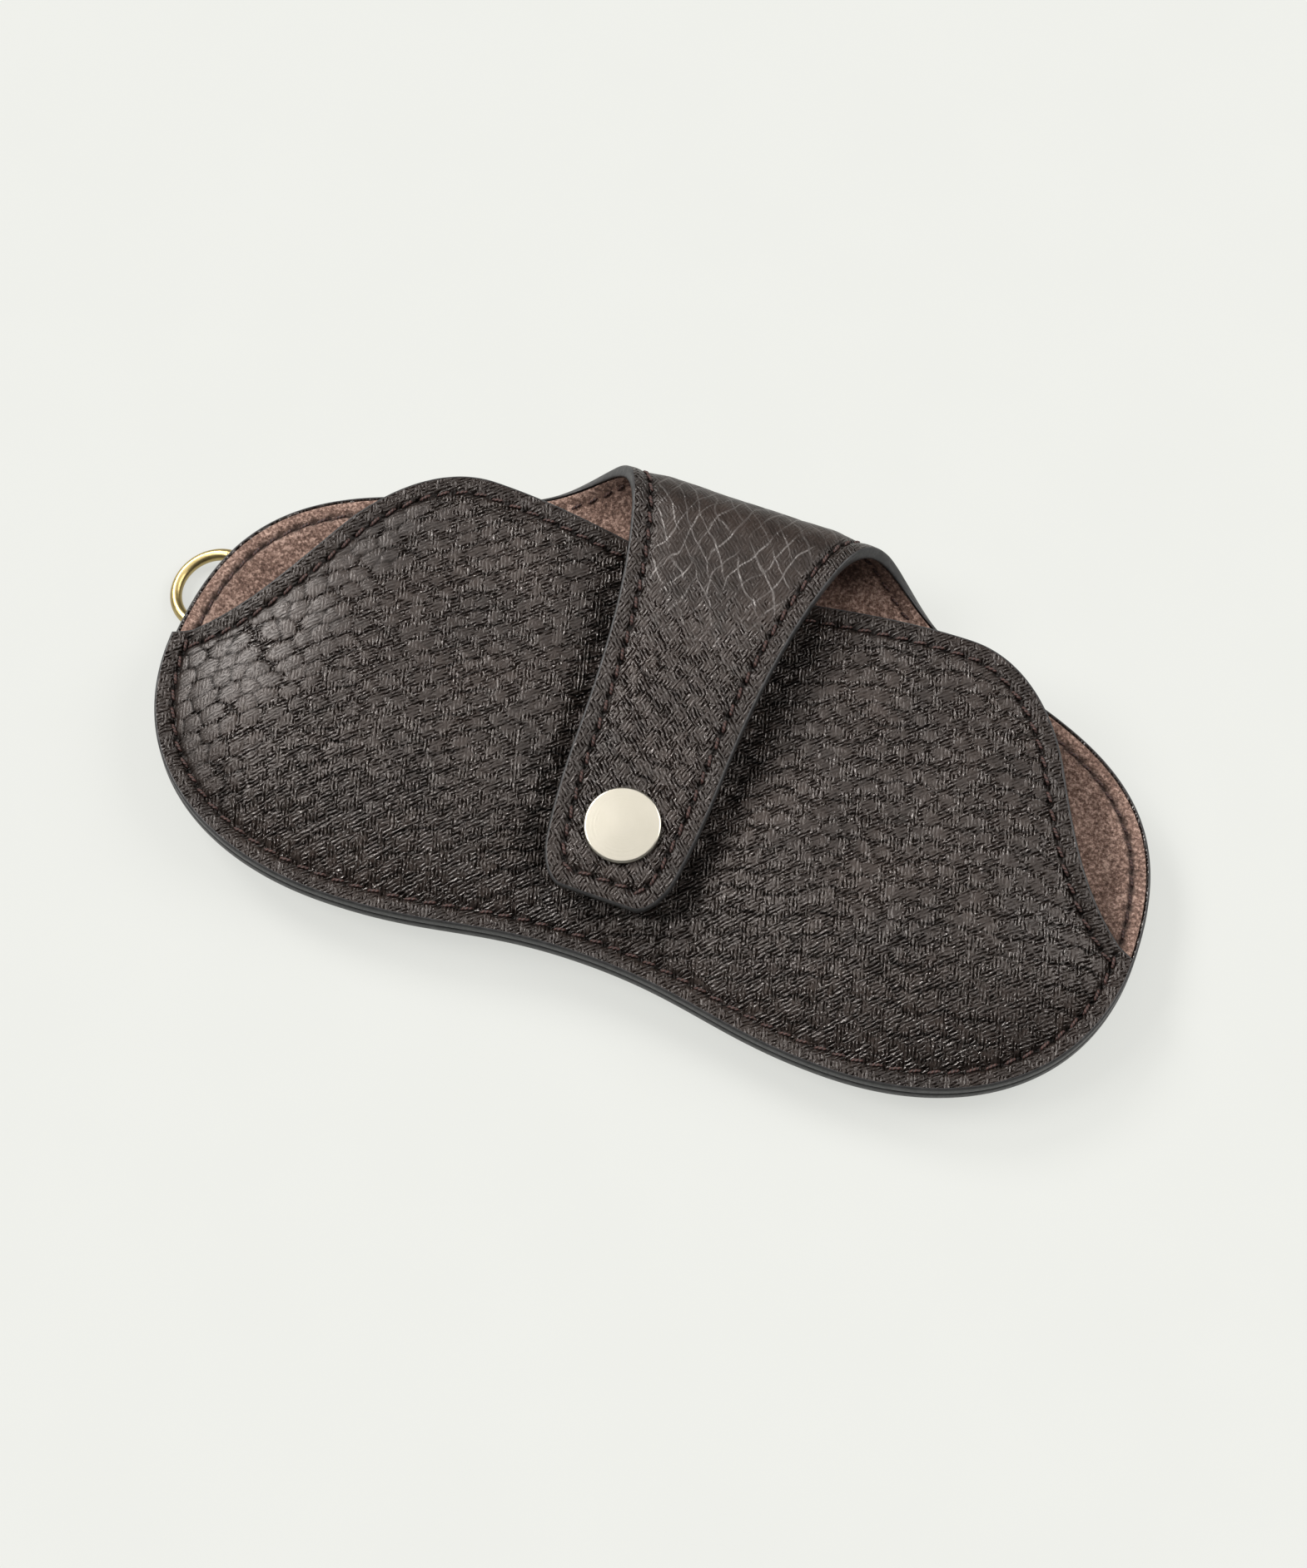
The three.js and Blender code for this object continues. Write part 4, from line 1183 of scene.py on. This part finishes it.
pad_low = sideways(spaced(seam_line, PAD_POINTS), PAD_INSET)
pad_up = sideways(spaced(mouth_line, PAD_POINTS), -PAD_INSET)
pad_low = pad_low[np.abs(pad_low[:, 0]) < PAD_HALF]
pad_up = between(pad_up, np.linspace(0, 1, PAD_POINTS + 1), np.linspace(0, 1, len(pad_low)))
pad_up[:, 0] = np.clip(pad_up[:, 0], -PAD_TOP_HALF, PAD_TOP_HALF)
pad_ends = 0.5 * (pad_low[[0, -1]] + pad_up[[0, -1]])
pad_low, pad_up = (np.concatenate([pad_ends[:1] - PAD_END, line, pad_ends[1:] + PAD_END])
                   for line in (pad_low, pad_up))
pad_top = LEATHER + GLUE
pad_under = below(front_height, pad_top + FOAM)
front_pad = make_panel(
    "front_pad", pad_low, pad_up, plain(below(front_height, pad_top)), pad_under, pad_under,
    PAD_ROWS, PAD_HIDDEN_ROWS, [foam], rounding=SUEDE_ROUND)
finish_piece(front_pad, "foam", "front_foam")
board_under = below(back_height, -pad_top)
back_stiffener = make_panel(
    "back_stiffener", pad_low, pad_up, plain(below(back_height, -pad_top - BOARD)), board_under, board_under,
    PAD_ROWS, PAD_HIDDEN_ROWS, [board], rounding=SUEDE_ROUND)
finish_piece(back_stiffener, "board", "back_board")


# Strap

STRAP_ROWS = 235
STRAP_COLUMNS = 131
STRAP_SUEDE_ROWS = 180
STRAP_SUEDE_COLUMNS = 61


def across_fold(piece, slot, *nodes):
    """A piece over the fold between the pouch and the strap: bakes its placement into its mesh and hides the
    CAD parts that it stands for.
    """
    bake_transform(piece)
    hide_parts(*nodes)
    return piece


strap_hide = make_strap("strap_hide", strap_form, -LEATHER, -STACK, STRAP_ROWS, STRAP_COLUMNS,
                        [grain_leather, edge_paint], grained=1)
across_fold(strap_hide, "grain_leather", "fold_leather", "strap_leather")


def strap_lining_form(flat):
    """Outer face of the strap's lining, under the leather, with no holes."""
    return np.full(flat.shape[:-1], -LEATHER - GLUE), np.zeros(flat.shape[:-1])


def strap_lining_groove(flat):
    """Groove of the strap's stitches in its lining, going up into it."""
    return smooth(flat[..., 1], 0.0, 4.0) * groove(flat, strap_sewn)[0]


strap_suede = make_strap("strap_suede", strap_lining_form, -STACK, -STACK, STRAP_SUEDE_ROWS,
                         STRAP_SUEDE_COLUMNS, [suede], inset=LINING_INSET, rounding=SUEDE_ROUND,
                         shown_inside=strap_lining_groove)
across_fold(strap_suede, "suede", "fold_lining", "strap_lining")


# Stitching


def sew(name, thread_node, line, top, under):
    """Stitches on both faces along a line. top and under are each a height field and the lift over it."""
    count = stitch_count(line)
    paths = [(*sewn_path(line, *top), count), (*sewn_path(line, *under, -1), count)]
    finish_piece(make_stitches(name, paths, thread), "thread", thread_node)


def sew_strap():
    """Stitches on both faces of the strap, which follow its curve over the fold."""
    x, s = strap_sewn[:, 0], strap_sewn[:, 1]
    count = stitch_count(strap_sewn)
    normal = on_strap(x, s, 1.0) - on_strap(x, s, 0.0)
    outside = (on_strap(x, s, -SUNK), normal, count)
    inside = (on_strap(x, s, -STACK + SUNK), -normal, count)
    made = make_stitches("strap_stitches", [outside, inside], thread)
    across_fold(made, "thread", "fold_thread_right", "fold_thread_left", "strap_thread")


on_front, on_back = (front_height, -SUNK), (back_height, SUNK)
sew("seam_stitches", "seam_thread", seam_sewn, on_front, on_back)
sew("mouth_stitches", "mouth_thread", mouth_sewn, on_front, (front_height, SUNK - STACK))
on_suede = (back_height, STACK - SUEDE_SUNK)
for word, rim_side in (("right", 1), ("left", -1)):
    sew("rim_stitches_" + word, "rim_thread_" + word, rim_sewn * [rim_side, 1], on_suede, on_back)
sew_strap()


# Snap fastener

snap_point = on_strap(np.array(0.0), np.array(SNAP_S), np.array(0.0))
snap_normal = on_strap(np.array(0.0), np.array(SNAP_S), np.array(1.0)) - snap_point


def snap_place(points):
    """From the snap's own axis to the case: turned about X so that its axis stands on the strap."""
    tall = snap_normal
    deep = np.cross(tall, [1.0, 0, 0])
    return snap_point + points[:, :1] * [1.0, 0, 0] + points[:, 1:2] * deep + points[:, 2:] * tall


def drop_to_front():
    """Distance down the snap's axis from the strap's outer face to the front panel, by repeated steps."""
    drop = STACK
    for _ in range(20):
        at = snap_point - snap_normal * drop
        drop += (at[2] - front_height(at[None, :2])[0]) * snap_normal[2]
    return drop


FRONT_DROP = drop_to_front()


def make_snap():
    """The five pieces of the snap: cap, socket and spring on the strap, stud and post on the front."""
    under = -STACK - FIT
    ceiling = under - SOCKET_WALL
    shank_end = ceiling - SHANK_FLARE
    face = -FRONT_DROP + SNAP_SEAT
    flange_top = face + FLANGE_H
    mouth_level = flange_top + FIT
    spring_level = mouth_level + SOCKET_WALL + FIT / 3 + SPRING_WIRE / 2
    neck_top = spring_level + SPRING_WIRE / 2
    crown = shank_end - FIT
    bore = SHANK_R + FIT / 3
    mouth_r = BULB_R + SNAP_PLAY
    cavity = SOCKET_R - SOCKET_WALL
    seat = FIT - CAP_SINK

    edge = np.linspace(0, math.pi / 2, 9)
    flat_r = CAP_R - CAP_RIM
    dome_r = np.linspace(flat_r, 0, 24)
    rim_r = flat_r + CAP_RIM * np.cos(edge)
    rim_z = seat + CAP_RIM + CAP_EDGE * np.sin(edge)
    dome_z = rim_z[-1] + CAP_DOME * (1 - (dome_r / flat_r) ** CAP_FLATNESS)
    cap = [[0, shank_end], [SHANK_R, shank_end], [SHANK_R, seat], [CAP_R - CAP_CHAMFER, seat],
           [CAP_R, seat + CAP_CHAMFER]]
    cap = np.concatenate([cap, np.column_stack([rim_r, rim_z]), np.column_stack([dome_r[1:], dome_z[1:]])])
    piece = make_turned("cap_shell", cap, pale_gold, snap_place, 128)
    finish_piece(piece, "pale_gold", "snap_cap", body="strap")

    socket = rounded([
        [bore, ceiling], [cavity, ceiling], [cavity, mouth_level + SOCKET_WALL],
        [mouth_r, mouth_level + SOCKET_WALL], [mouth_r, mouth_level], [SOCKET_R, mouth_level],
        [SOCKET_R, under], [bore, under]], SOCKET_ROUND)
    piece = make_turned("socket_shell", socket, old_brass, snap_place)
    finish_piece(piece, "old_brass", "snap_socket", body="strap")

    stud_bore = POST_R + FIT / 3
    stud = rounded([
        [stud_bore, face], [FLANGE_R, face], [FLANGE_R, flange_top], [NECK_R, flange_top], [NECK_R, neck_top],
        [BULB_R, (neck_top + crown) / 2], [BULB_R * BULB_TAPER, crown], [stud_bore, crown]], STUD_ROUND)
    finish_piece(make_turned("stud_shell", stud, old_brass, snap_place), "old_brass", "snap_stud")

    head = -FRONT_DROP - STACK - FOAM - GLUE - SNAP_SEAT
    post = rounded([
        [0, head - FLANGE_H], [POST_HEAD_R, head - FLANGE_H], [POST_HEAD_R, head], [POST_R, head],
        [POST_R, crown - FIT], [0, crown - FIT]], POST_ROUND)
    finish_piece(make_turned("post_rivet", post, old_brass, snap_place), "old_brass", "snap_post")

    leg = NECK_R + FIT + SPRING_WIRE / 2
    reach = math.sqrt((cavity - SPRING_WIRE) ** 2 - leg**2)
    turn = np.linspace(math.pi / 2, 3 * math.pi / 2, 41)
    straight = np.linspace(reach, 0, 20)[:-1]
    path = np.concatenate([level_line(straight, leg), arc(leg, turn), level_line(straight[::-1], -leg)])
    path = level_line(path, spring_level)
    wire = make_tube("spring_wire", snap_place(path), SPRING_WIRE / 2, spring_steel, 12, False, snap_normal)
    finish_piece(wire, "spring_steel", "snap_spring", body="strap")


make_snap()


# D-ring and tab


def make_ring():
    """The tab, folded round the bar of the ring and sewn under the back panel, and the ring itself."""
    loop_in = RING_WIRE / 2 + BAR_PLAY
    loop_out = loop_in + TAB_LEATHER
    bar_x = -HALF_LENGTH + RING_INSET

    def seat_at(x):
        return back_height(np.array([[x, RING_Y - TAB_WIDTH / 2]]))[0]

    middle = bar_x + TAB_LENGTH / 2
    slope = (seat_at(middle + 1) - seat_at(middle - 1)) / 2
    tilt = math.atan(slope)
    bar_z = seat_at(middle) - FIT + slope * (bar_x - middle) - loop_out / math.cos(tilt)
    bar = np.array([bar_x, RING_Y, bar_z])
    along = np.array([math.cos(tilt), 0, math.sin(tilt)])
    above = np.array([-math.sin(tilt), 0, math.cos(tilt)])

    plies = loop_out - 2 * TAB_LEATHER - GLUE
    slot = loop_in - GLUE
    out_end, in_end = math.asin(plies / loop_out), math.asin(slot / loop_in)
    outer = np.linspace(math.pi / 2, 2 * math.pi + out_end, 40)
    inner = np.linspace(2 * math.pi + in_end, math.pi / 2, 40)
    far = np.linspace(TAB_LENGTH, TAB_GAP, 24)
    section = np.concatenate([
        level_line(far, loop_out),
        arc(loop_out, outer),
        level_line(np.linspace(loop_out * math.cos(out_end), TAB_LENGTH, 24)[1:], plies),
        level_line(np.linspace(TAB_LENGTH, loop_in * math.cos(in_end), 24)[:-1], slot),
        arc(loop_in, inner),
        level_line(far[::-1], loop_in)])
    width = np.linspace(-TAB_WIDTH / 2, TAB_WIDTH / 2, 30)
    points = bar + section[None, :, :1] * along + section[None, :, 1:] * above
    points = points + width[:, None, None] * [0, 1, 0]
    run = runs(section)
    flat = grid(run, width[:, None], 0 * run).reshape(-1, 3)
    _, crease, top = grain(flat[:, :2], np.zeros(len(flat)))
    fields = {"flat": flat, "crease": crease, "top": top, "hole": 0 * crease}
    quads = tube_quads(len(width), len(section))
    tab = make_piece("tab_loop", points.reshape(-1, 3), quads, [tab_leather, edge_paint], None, fields,
                     TAB_CRISP)
    work = bmesh.new()
    work.from_mesh(tab.data)
    rims = [e for e in work.edges if e.is_boundary]
    caps = bmesh.ops.holes_fill(work, edges=rims)["faces"]
    for face in caps:
        face.material_index = 1
    bmesh.ops.recalc_face_normals(work, faces=work.faces)
    work.to_mesh(tab.data)
    work.free()
    soften = tab.modifiers.new("soft corners", "BEVEL")
    soften.width = TAB_SOFT * MM
    soften.segments = 2
    soften.limit_method = "ANGLE"
    soften.angle_limit = math.radians(TAB_CRISP)
    finish_piece(tab, "tab_leather", "ring_tab")

    far_x, wide, near = TAB_LENGTH - TAB_SEWN_END, TAB_WIDTH / 2 - TAB_SEWN_SIDE, loop_out + TAB_SEWN_BAR
    corners = np.array([[near, wide], [far_x, wide], [far_x, -wide], [near, -wide]])
    line = spaced(corners, 120)
    path = bar + line[:, :1] * along + line[:, 1:] * [0, 1, 0] + (plies - TAB_SUNK) * above
    count = round(runs(line)[-1] / TAB_PITCH)
    sewn = make_stitches("tab_stitches", [(path, np.broadcast_to(-above, path.shape), count)], thread)
    finish_piece(sewn, "thread", "tab_thread")

    mean = (RING_INSIDE + RING_WIRE) / 2
    reach = RING_SIDE + mean
    droop = math.asin((bar_z - RING_WIRE / 2 - FIT / 3) / reach)
    t = np.linspace(0, 1, 24)[1:-1, None]
    corner = np.array([[0, mean - RING_WIRE], [0, mean], [-RING_WIRE / 2 - RING_SIDE / 2, mean]])
    bent = corner_curve(*corner, t)
    bow = arc(mean, np.linspace(math.pi / 2, 3 * math.pi / 2, 90)) - [RING_SIDE, 0]
    outline = np.concatenate([
        [[0, 0], [0, mean - RING_WIRE]], bent, bow, bent[::-1] * [1, -1], [[0, -mean + RING_WIRE], [0, 0]]])
    outline = spaced(outline, 220)[:-1]
    lie = np.array([math.cos(droop), 0, math.sin(droop)])
    ring_path = bar + outline[:, :1] * lie + outline[:, 1:] * [0, 1, 0]
    up = np.array([-math.sin(droop), 0, math.cos(droop)])
    ring = make_tube("ring_wire", ring_path, RING_WIRE / 2, ring_brass, 28, True, up)
    finish_piece(ring, "ring_brass", "d_ring", body="ring")


make_ring()


# Floor, light and camera

FLOOR_HALF = 3.0
FLOOR_Z = -0.0002
FLOOR_CORNERS = ((-1, -1), (1, -1), (1, 1), (-1, 1))
LIGHT_COLOUR = (1.0, 0.985, 0.965)
SKY_COLOUR = (0.97, 0.985, 1.0, 1)
SKY_STRENGTH = 0.14
floor_mesh = bpy.data.meshes.new("floor")
floor_corners = [(FLOOR_HALF * x, FLOOR_HALF * y, FLOOR_Z) for x, y in FLOOR_CORNERS]
floor_mesh.from_pydata(floor_corners, [], [(0, 1, 2, 3)])
floor = bpy.data.objects.new("floor", floor_mesh)
bpy.context.scene.collection.objects.link(floor)
paper, paper_tree, paper_shader = start("pale paper", Roughness=0.9, Specular_IOR_Level=0.1,
                                        Emission_Color=(0.86, 0.87, 0.83, 1), Emission_Strength=0.71)
mottle = noise(own_place(paper_tree), 40.0)
link(ramp(mottle, (0.0, (0.125, 0.127, 0.122)), (1.0, (0.135, 0.137, 0.132))), paper_shader, "Base Color")
floor_mesh.materials.append(paper)


def sun(name, toward, strength, spread):
    """Soft distant light that comes from a direction."""
    lamp = bpy.data.lights.new(name, "SUN")
    lamp.energy = strength
    lamp.angle = math.radians(spread)
    lamp.color = LIGHT_COLOUR
    made = bpy.data.objects.new(name, lamp)
    bpy.context.scene.collection.objects.link(made)
    aim = np.array(toward, float) / np.linalg.norm(toward)
    made.rotation_euler = (math.acos(aim[2]), 0, math.atan2(aim[1], aim[0]) + math.pi / 2)


sun("ceiling_light", (-0.12, 0.12, 0.98), 1.05, 56)
sun("window_light", (-0.72, 0.36, 0.58), 2.55, 20)
sun("left_light", (-0.68, -0.16, 0.71), 2.1, 24)
sun("side_light", (0.62, 0.42, 0.66), 2.4, 40)
world = bpy.data.worlds.new("studio")
bpy.context.scene.world = world
world.use_nodes = True
sky = world.node_tree.nodes["Background"].inputs
sky[0].default_value = SKY_COLOUR
sky[1].default_value = SKY_STRENGTH
bpy.context.scene.view_settings.view_transform = "Standard"

# Camera: its direction and distance, and its focal length in pixels of a picture so many pixels high
CAMERA_RISE = math.radians(67.4)
CAMERA_TURN = math.radians(20.3)
CAMERA_AWAY = 0.7112
CAMERA_AIM = np.array([-0.0001, 0.0, 0.0042])
SENSOR = 36
FOCAL_PIXELS = 5000
PICTURE_PIXELS = 1884
camera_data = bpy.data.cameras.new("camera")
camera_data.sensor_width = SENSOR
camera_data.lens = SENSOR * FOCAL_PIXELS / PICTURE_PIXELS
camera = bpy.data.objects.new("camera", camera_data)
bpy.context.scene.collection.objects.link(camera)
camera.location = CAMERA_AIM + CAMERA_AWAY * np.array([
    math.cos(CAMERA_RISE) * math.sin(CAMERA_TURN), -math.cos(CAMERA_RISE) * math.cos(CAMERA_TURN),
    math.sin(CAMERA_RISE)])
camera.rotation_euler = (math.pi / 2 - CAMERA_RISE, 0, CAMERA_TURN)
bpy.context.scene.camera = camera
